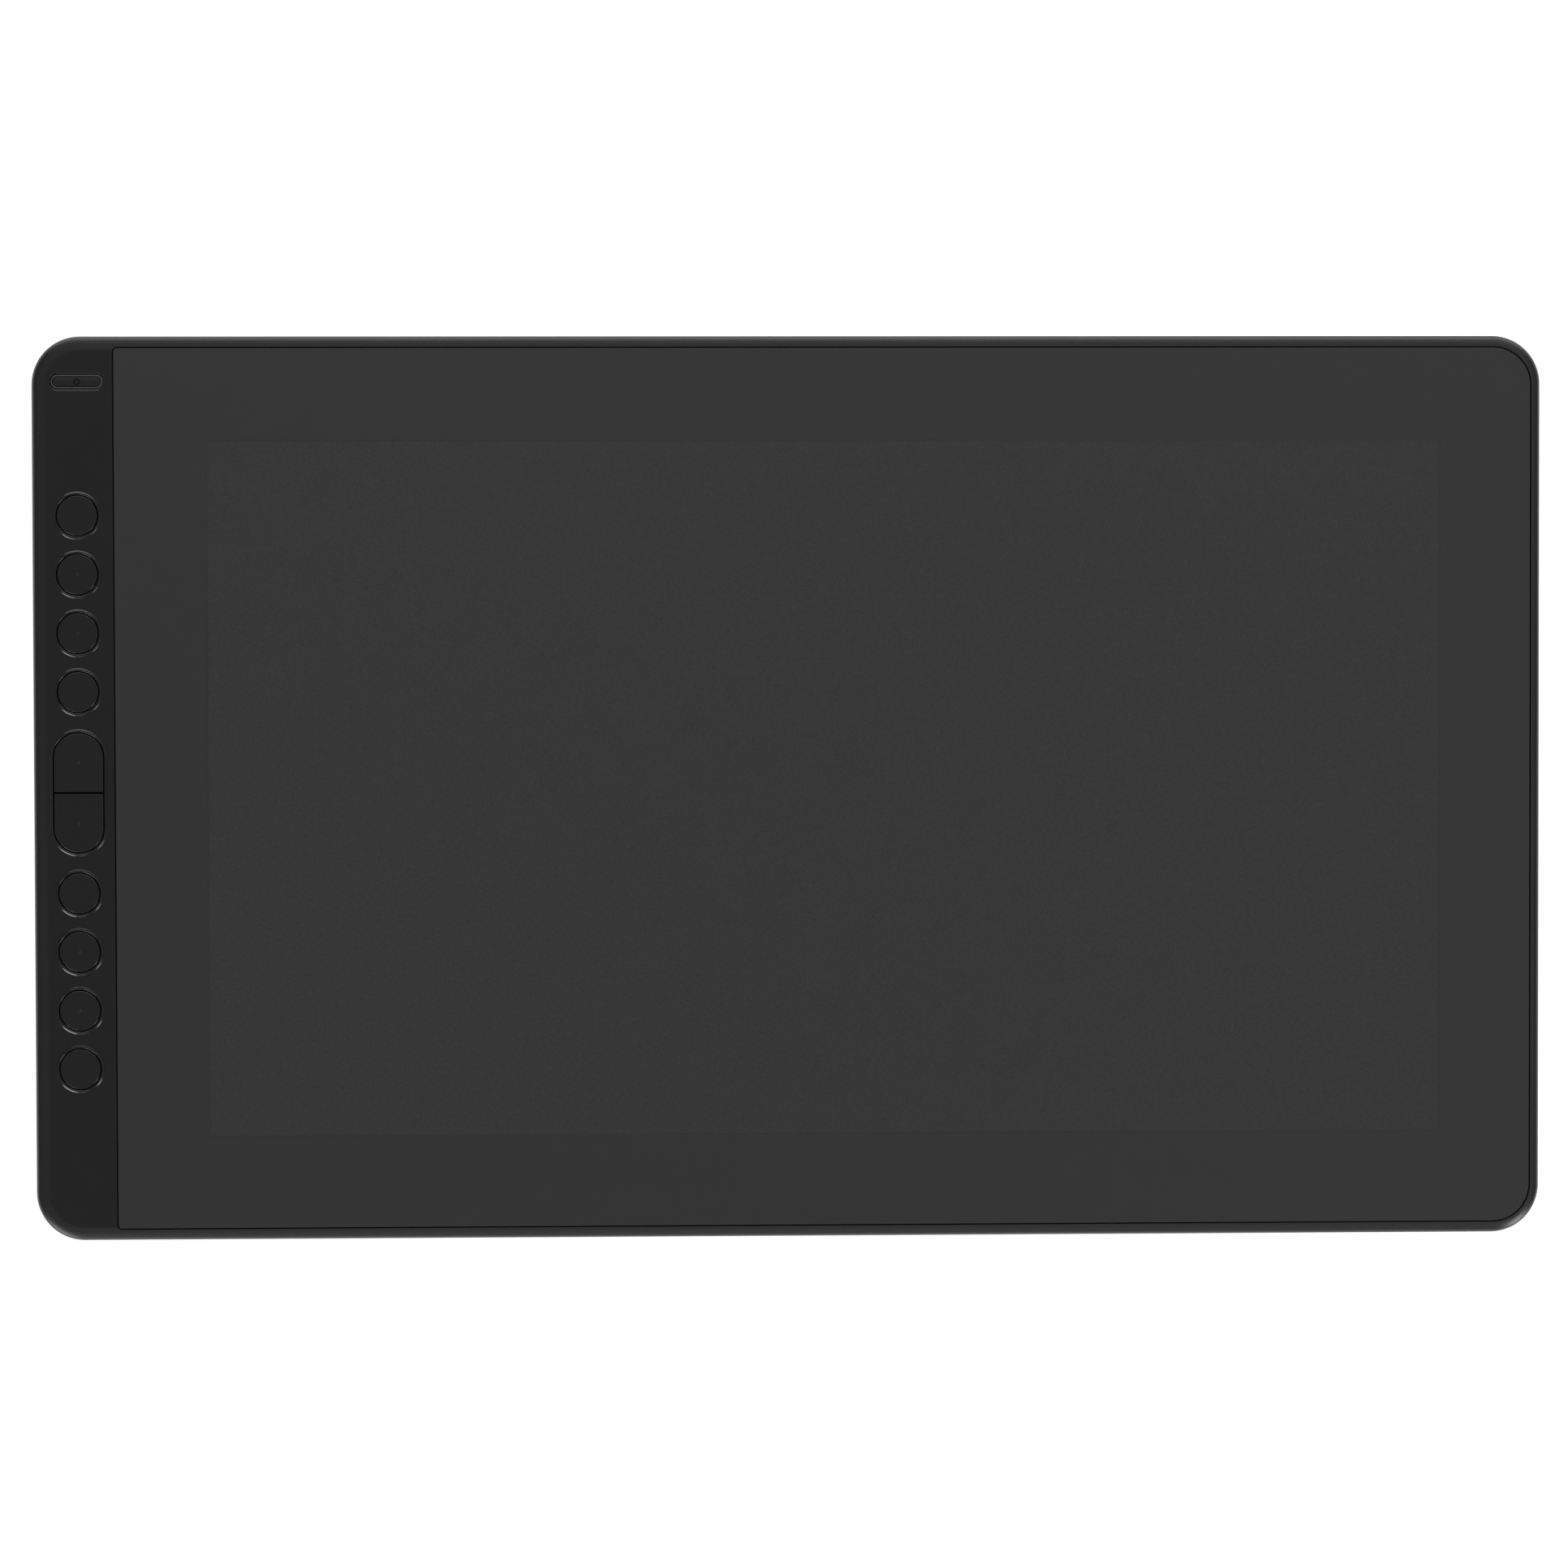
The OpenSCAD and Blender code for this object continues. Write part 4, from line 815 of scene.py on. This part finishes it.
def add_dot(piece, place):
    """Adds the dome of a tactile dot to a key's top."""
    ball_r = (dot_r ** 2 + dot_h ** 2) / (2 * dot_h)
    bpy.ops.object.select_all(action="DESELECT")
    bpy.ops.mesh.primitive_uv_sphere_add(
        segments=dot_sides, ring_count=dot_rings, radius=ball_r,
        location=(place[0], place[1], z_key_top + dot_h - ball_r),
    )
    dome = bpy.context.object
    bpy.ops.object.transform_apply(location=True, rotation=True, scale=True)
    open_form(dome, "FACE")
    bpy.ops.mesh.select_all(action="SELECT")
    bpy.ops.mesh.bisect(
        plane_co=(place[0], place[1], z_key_top - dot_root), plane_no=(0, 0, 1),
        use_fill=True, clear_inner=True,
    )
    close_form()
    join_up([piece, dome])


def polish_edge(piece, radius):
    """Gives the rounded edge of a key's top the smoother finish."""
    piece.data.materials.append(edge_black)
    for face in piece.data.polygons:
        if face.normal.z < level_face and z_key_top - radius < face.center.z < z_key_top:
            face.material_index = 1


for number, y in enumerate(key_ys, start=1):
    key = start_rod(f"round_key_{number}", (key_x, y), flange_r, z_flange, z_flange + flange_t)
    pick_face(key, 1)
    bpy.ops.mesh.inset(thickness=flange_r - key_r)
    pull(z_key_top - z_flange - flange_t)
    close_form()
    pick_face(key, -1)
    bpy.ops.mesh.inset(thickness=flange_r - key_r + key_wall)
    pull(z_key_top - key_wall - z_flange)
    bpy.ops.mesh.inset(thickness=key_r - key_wall - stem_r)
    pull(z_stem - z_key_top + key_wall)
    close_form()
    round_edges(key, lambda a, b: min(a.z, b.z) > z_key_top - tiny, key_edge_r, steps=6)
    if number in dotted_keys:
        add_dot(key, (key_x, y))
    finish_faces(key)
    dress(key, key_black, f"key_{number}")
    polish_edge(key, key_edge_r)
    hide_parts(f"key_{number}")

# Rocker: two half-round caps that meet at a narrow split in the middle of the key column.
# Each is hollow, has a flange under the key panel, a stem on its own switch and a dot.
rocker_w = 13.6 * mm
rocker_l = 33.2 * mm
rocker_split = 0.5 * mm
rocker_lip = 1.15 * mm
rocker_edge_r = 0.2 * mm
split_edge_r = 0.25 * mm
split_edge_min = 5.0 * mm
split_depth = 0.5 * mm
rocker_sides = 128
rocker_stem_y = rocker_split / 2 + (rocker_l - rocker_split) / 4


def halve(piece, y, side):
    """Keeps the half of piece beyond y on one side, and closes the cut."""
    open_form(piece, "FACE")
    bpy.ops.mesh.select_all(action="SELECT")
    bpy.ops.mesh.bisect(
        plane_co=(0, y, 0), plane_no=(0, side, 0), use_fill=True, clear_inner=True
    )
    close_form()


for name, side in (("far", 1), ("near", -1)):
    cut_y = column_y + side * rocker_split / 2
    half = start_pill(
        f"rocker_half_{name}", rocker_place, rocker_w, rocker_l, z_flange, z_key_top, "Y",
        rocker_sides,
    )
    halve(half, cut_y, side)
    round_edges(
        half,
        lambda a, b: min(a.z, b.z) > z_key_top - tiny
        and not (abs(a.y - cut_y) < tiny and abs(b.y - cut_y) < tiny),
        rocker_edge_r, steps=5,
    )
    round_edges(
        half,
        lambda a, b: min(a.z, b.z) > z_key_top - split_depth and abs(a.x - b.x) > split_edge_min
        and abs(a.y - cut_y) < tiny and abs(b.y - cut_y) < tiny,
        split_edge_r,
    )
    flange = start_pill(
        "flange", rocker_place, rocker_w + 2 * rocker_lip, rocker_l + 2 * rocker_lip,
        z_flange, z_flange + flange_t, "Y", rocker_sides,
    )
    halve(flange, cut_y, side)
    combine(half, flange, "UNION")
    inner = start_pill(
        "inner", rocker_place, rocker_w - 2 * key_wall, rocker_l - 2 * key_wall,
        z_flange - past, z_key_top - key_wall, "Y",
    )
    halve(inner, cut_y + side * key_wall, side)
    combine(half, inner, "DIFFERENCE")
    stem_place = (key_x, column_y + side * rocker_stem_y)
    stem = start_rod("stem", stem_place, stem_r, z_stem, z_key_top - key_wall / 2, round_sides)
    combine(half, stem, "UNION")
    add_dot(half, stem_place)
    finish_faces(half)
    dress(half, key_black, f"rocker_{name}")
    polish_edge(half, rocker_edge_r)
    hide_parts(f"rocker_{name}")

# Power key: a black cap with a shallow crown, clipped into a translucent carrier whose rim shows
# as a pale ring. The standby sign is sunk into the cap and filled with dark paint.
# The key sits a little to the right in its hole.
z_power_top = 12.5 * mm
cap_w = 2.7 * mm
cap_l = 13.3 * mm
cap_depth = 1.6 * mm
cap_edge_r = 0.2 * mm
cap_crown_r = 7.5 * mm
cap_crest = 0.3 * mm
cap_crown_sides = 256
ring_in_w = 3.1 * mm
ring_in_l = 13.7 * mm
ring_w = 3.7 * mm
ring_l = 14.3 * mm
ring_lip = 1.0 * mm
ring_edge_r = 0.08 * mm
stem_root = 0.15 * mm
sign_r = 0.92 * mm
sign_stroke = 0.32 * mm
sign_depth = 0.18 * mm
bar_lift = 0.12 * mm
power_shift = 0.15 * mm
power_x = key_x + power_shift
power_place = (power_x, power_y)
ring_grey = grained(
    "ring_grey", grey(0.054), grey(0.066), 0.3, 0.36, 0.2 * mm, 0.002 * mm
)
sign_paint = grained(
    "sign_paint", grey(0.003), grey(0.005), 0.5, 0.6, 0.1 * mm, 0.003 * mm, specular=0.2
)

power_ring = start_pill("power_ring", power_place, ring_w, ring_l, z_flange, z_power_top, "X")
round_edges(power_ring, lambda a, b: min(a.z, b.z) > z_power_top - tiny, ring_edge_r, steps=3)
flange = start_pill(
    "flange", power_place, ring_w + 2 * ring_lip, ring_l + 2 * ring_lip,
    z_flange, z_flange + flange_t, "X",
)
combine(power_ring, flange, "UNION")
pocket = start_pill(
    "pocket", power_place, ring_in_w, ring_in_l, z_power_top - cap_depth, z_power_top + past, "X"
)
combine(power_ring, pocket, "DIFFERENCE")
stem = start_rod("stem", power_place, stem_r, z_stem, z_flange + stem_root, round_sides)
combine(power_ring, stem, "UNION")
finish_faces(power_ring)
dress(power_ring, ring_grey, "power_key")
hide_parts("power_light_ring")

power_button = start_pill(
    "power_button", power_place, cap_w, cap_l, z_power_top - cap_depth, z_power_top, "X"
)
round_edges(power_button, lambda a, b: min(a.z, b.z) > z_power_top - tiny, cap_edge_r)
crown = start_rod("crown", (0, 0), cap_crown_r, -cap_l, cap_l, cap_crown_sides)
crown.rotation_euler = (0, math.pi / 2, 0)
crown.location = (power_x, power_y - cap_crest, z_power_top - cap_crown_r)
bpy.ops.object.transform_apply(location=True, rotation=True, scale=True)
combine(power_button, crown, "INTERSECT")
z_sign = z_power_top - sign_depth
z_above = z_power_top + 2 * past
sign = start_rod("sign", power_place, sign_r, z_sign, z_power_top + past, fine_sides)
core = start_rod("core", power_place, sign_r - sign_stroke, z_flange, z_above, fine_sides)
combine(sign, core, "DIFFERENCE")
opening = start_block(
    "opening", (power_x - sign_stroke, power_y, z_flange),
    (power_x + sign_stroke, power_y + 2 * sign_r, z_above),
)
combine(sign, opening, "DIFFERENCE")
bar = start_block(
    "bar", (power_x - sign_stroke / 2, power_y + bar_lift, z_sign),
    (power_x + sign_stroke / 2, power_y + sign_r + bar_lift, z_power_top + past),
)
sign = join_up([sign, bar])
power_button.data.materials.append(key_black)
power_button.data.materials.append(sign_paint)
sign.data.materials.append(key_black)
sign.data.materials.append(sign_paint)
for face in sign.data.polygons:
    face.material_index = 1
combine(power_button, sign, "DIFFERENCE")
finish_faces(power_button)
power_button.data.name = "power_button"
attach(power_button, "power_key")
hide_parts("power_cap")

# Cover glass: one sheet of etched glass with a softened edge, taped on the frame's ledge.
# Its border is printed black from behind, and the dark panel shows through in the middle.
z_glass = 11.3 * mm
z_glass_top = 12.4 * mm
glass_edge_r = 0.12 * mm
active_half_w = 172.1 * mm
active_half_d = 96.8 * mm
mask_line = 0.7 * mm
border_print = grained(
    "border_print", grey(0.0215), grey(0.0225), 0.47, 0.5, 0.12 * mm, 0.003 * mm
)
mask_print = grained(
    "mask_print", grey(0.0198), grey(0.0206), 0.47, 0.5, 0.12 * mm, 0.003 * mm
)
panel_through_glass = grained(
    "panel_through_glass", grey(0.019), grey(0.031), 0.47, 0.5, 0.34 * mm, 0.003 * mm
)
screen_glass = round_block(
    "screen_glass", (glass_x - glass_half_w, -glass_half_d, z_glass),
    (glass_x + glass_half_w, glass_half_d, z_glass_top),
    glass_corners,
)
round_edges(screen_glass, lambda a, b: min(a.z, b.z) > z_glass_top - tiny, glass_edge_r)
for reach_x, reach_y in (
    (active_half_w, active_half_d), (active_half_w + mask_line, active_half_d + mask_line)
):
    for side in (-1, 1):
        for point, normal in (
            ((glass_x + side * reach_x, 0, 0), (1, 0, 0)), ((0, side * reach_y, 0), (0, 1, 0))
        ):
            form = open_form(screen_glass, "FACE")
            for face in form.faces:
                on_top = face.calc_center_median().z > z_glass_top - tiny
                face.select_set(on_top and face.normal.z > level_face)
            bmesh.update_edit_mesh(screen_glass.data)
            bpy.ops.mesh.bisect(plane_co=point, plane_no=normal)
            close_form()
screen_glass.data.materials.append(border_print)
screen_glass.data.materials.append(mask_print)
screen_glass.data.materials.append(panel_through_glass)
for face in screen_glass.data.polygons:
    x = abs(face.center.x - glass_x)
    y = abs(face.center.y)
    if face.normal.z < level_face or face.center.z < z_glass_top - tiny:
        face.material_index = 0
    elif x < active_half_w and y < active_half_d:
        face.material_index = 2
    elif x < active_half_w + mask_line and y < active_half_d + mask_line:
        face.material_index = 1
finish_faces(screen_glass)
screen_glass.data.name = "screen_glass"
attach(screen_glass, "housing")
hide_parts("cover_glass")

# Housing screws: twelve small black steel screws with cross recesses, turned up through the
# rear cover into the posts under the front frame.
head_r = 1.8 * mm
head_h = 1.0 * mm
shank_r = 0.95 * mm
shank_l = 5.6 * mm
head_edge_r = 0.35 * mm
recess_l = 2.0 * mm
recess_w = 0.5 * mm
recess_depth = 0.55 * mm
screws = []
for place in post_places:
    screw = start_rod("screw", place, head_r, z_seat - head_h, z_seat, round_sides)
    pick_face(screw, 1)
    bpy.ops.mesh.inset(thickness=head_r - shank_r)
    pull(shank_l)
    close_form()
    round_edges(screw, lambda a, b: max(a.z, b.z) < z_seat - head_h + tiny, head_edge_r)
    for along in (0, 1):
        reach = (recess_l / 2, recess_w / 2) if along else (recess_w / 2, recess_l / 2)
        slot = start_block(
            "recess", (place[0] - reach[0], place[1] - reach[1], z_seat - head_h - past),
            (place[0] + reach[0], place[1] + reach[1], z_seat - head_h + recess_depth),
        )
        combine(screw, slot, "DIFFERENCE")
    screws.append(screw)
screw_set = join_up(screws)
screw_set.name = "housing_screw_set"
finish_faces(screw_set)
dress(screw_set, screw_steel, "housing")
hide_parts("housing_screws")

# Studio: a white floor, a broad soft lamp on the far side, two smaller ones on the near side and
# a fill from above. The sky is dark, so that a black surface stays black, with a pale horizon,
# a faint ring and a glow on the near side. The camera looks almost straight down.
floor_half = 4.0
floor_glow = 0.66


def add_math(tree, operation):
    """A step of arithmetic among the nodes of the floor or the sky."""
    step = tree.nodes.new("ShaderNodeMath")
    step.operation = operation
    return step


bpy.ops.object.select_all(action="DESELECT")
bpy.ops.mesh.primitive_plane_add(size=2 * floor_half, location=(0, 0, 0))
floor = bpy.context.object
floor.name = "studio_floor"
floor_white = bpy.data.materials.new("floor_white")
floor_white.use_nodes = True
tree = floor_white.node_tree
link = tree.links.new
shader = tree.nodes["Principled BSDF"]
shader.inputs["Base Color"].default_value = (0.8, 0.8, 0.8, 1)
shader.inputs["Roughness"].default_value = 0.9
shader.inputs["Specular IOR Level"].default_value = 0
glow = tree.nodes.new("ShaderNodeEmission")
glow.inputs["Color"].default_value = (1, 1, 1, 1)
path = tree.nodes.new("ShaderNodeLightPath")
seen = add_math(tree, "MAXIMUM")
seen_through = add_math(tree, "MAXIMUM")
glow_level = add_math(tree, "MULTIPLY")
glow_level.inputs[1].default_value = floor_glow
lit_floor = tree.nodes.new("ShaderNodeAddShader")
link(path.outputs["Is Camera Ray"], seen.inputs[0])
link(path.outputs["Is Glossy Ray"], seen.inputs[1])
link(seen.outputs["Value"], seen_through.inputs[0])
link(path.outputs["Is Transmission Ray"], seen_through.inputs[1])
link(seen_through.outputs["Value"], glow_level.inputs[0])
link(glow_level.outputs["Value"], glow.inputs["Strength"])
link(shader.outputs["BSDF"], lit_floor.inputs[0])
link(glow.outputs["Emission"], lit_floor.inputs[1])
link(lit_floor.outputs["Shader"], tree.nodes["Material Output"].inputs["Surface"])
floor.data.materials.append(floor_white)

studio = bpy.data.worlds.new("studio")
bpy.context.scene.world = studio
studio.use_nodes = True
tree = studio.node_tree
link = tree.links.new
way = tree.nodes.new("ShaderNodeTexCoord")
parts = tree.nodes.new("ShaderNodeSeparateXYZ")


def sky_ramp(stops):
    """A grey that follows the height above the horizon through its stops."""
    ramp = tree.nodes.new("ShaderNodeValToRGB")
    for element, (height, level) in zip(ramp.color_ramp.elements, (stops[0], stops[-1])):
        element.position = height
        element.color = (*grey(level), 1)
    for height, level in stops[1:-1]:
        ramp.color_ramp.elements.new(height).color = (*grey(level), 1)
    link(parts.outputs["Z"], ramp.inputs["Fac"])
    return ramp


def sky_weight(start, end, level_start, level_end):
    """A weight that runs from one level to another between two values."""
    weight = tree.nodes.new("ShaderNodeMapRange")
    weight.inputs["From Min"].default_value = start
    weight.inputs["From Max"].default_value = end
    weight.inputs["To Min"].default_value = level_start
    weight.inputs["To Max"].default_value = level_end
    return weight


link(way.outputs["Generated"], parts.inputs["Vector"])
horizon = sky_ramp(((0.1, 1.0), (0.29, 0.05), (0.5, 0.04), (0.98, 0.09)))
ring = sky_ramp(((0.52, 0.0), (0.64, 0.37), (0.89, 0.37), (0.985, 0.0)))
near_glow = sky_ramp(((0.14, 0.0), (0.24, 1.0), (0.5, 0.8), (0.7, 0.28), (0.94, 0.0)))
rightward = sky_weight(-0.5, 0.5, 0.6, 1.4)
nearward = sky_weight(-0.3, -0.7, 0.0, 1.0)
central = sky_weight(0.02, 0.22, 1.15, 0.0)
across = add_math(tree, "ABSOLUTE")
ring_share = add_math(tree, "MULTIPLY")
near_side = add_math(tree, "MULTIPLY")
near_share = add_math(tree, "MULTIPLY")
ring_and_glow = add_math(tree, "ADD")
sky_level = add_math(tree, "ADD")
link(parts.outputs["X"], rightward.inputs["Value"])
link(ring.outputs["Color"], ring_share.inputs[0])
link(rightward.outputs["Result"], ring_share.inputs[1])
link(parts.outputs["Y"], nearward.inputs["Value"])
link(near_glow.outputs["Color"], near_side.inputs[0])
link(nearward.outputs["Result"], near_side.inputs[1])
link(parts.outputs["X"], across.inputs[0])
link(across.outputs["Value"], central.inputs["Value"])
link(near_side.outputs["Value"], near_share.inputs[0])
link(central.outputs["Result"], near_share.inputs[1])
link(ring_share.outputs["Value"], ring_and_glow.inputs[0])
link(near_share.outputs["Value"], ring_and_glow.inputs[1])
link(horizon.outputs["Color"], sky_level.inputs[0])
link(ring_and_glow.outputs["Value"], sky_level.inputs[1])
link(sky_level.outputs["Value"], tree.nodes["Background"].inputs["Strength"])
tree.nodes["Background"].inputs["Color"].default_value = (1, 1, 1, 1)


def soft_lamp(name, azimuth, elevation, distance, size, power):
    """A lamp that faces the middle of the object, at an angle clockwise from the far side."""
    lamp = bpy.data.lights.new(name, "AREA")
    lamp.shape = "RECTANGLE"
    lamp.size = size[0]
    lamp.size_y = size[1]
    lamp.energy = power
    holder = bpy.data.objects.new(name, lamp)
    bpy.context.scene.collection.objects.link(holder)
    turn = math.radians(azimuth)
    rise = math.radians(elevation)
    holder.location = (
        distance * math.sin(turn) * math.cos(rise),
        distance * math.cos(turn) * math.cos(rise),
        distance * math.sin(rise),
    )
    holder.rotation_euler = (math.pi / 2 - rise, 0, math.pi - turn)
    holder.visible_camera = False
    return holder


soft_lamp("lamp_far", azimuth=5, elevation=18, distance=1.5, size=(2.7, 0.55), power=14.0)
soft_lamp(
    "lamp_near_right", azimuth=138, elevation=17, distance=2.2, size=(0.62, 1.0), power=18.0
)
soft_lamp(
    "lamp_near_left", azimuth=215, elevation=15, distance=2.2, size=(1.1, 0.7), power=17.5
)
fill = soft_lamp(
    "lamp_fill", azimuth=0, elevation=60, distance=1.6, size=(0.8, 0.8), power=10.4
)
fill.visible_glossy = False

camera_place = (-39.21 * mm, 35.9 * mm, 1300 * mm)
camera_lean = (-1.5503, -1.6708, -0.1411)
lens = bpy.data.cameras.new("camera")
lens.lens = 105.7
lens.sensor_width = 36
camera = bpy.data.objects.new("camera", lens)
bpy.context.scene.collection.objects.link(camera)
camera.location = camera_place
camera.rotation_euler = [math.radians(angle) for angle in camera_lean]
bpy.context.scene.camera = camera
bpy.context.scene.view_settings.view_transform = "Standard"
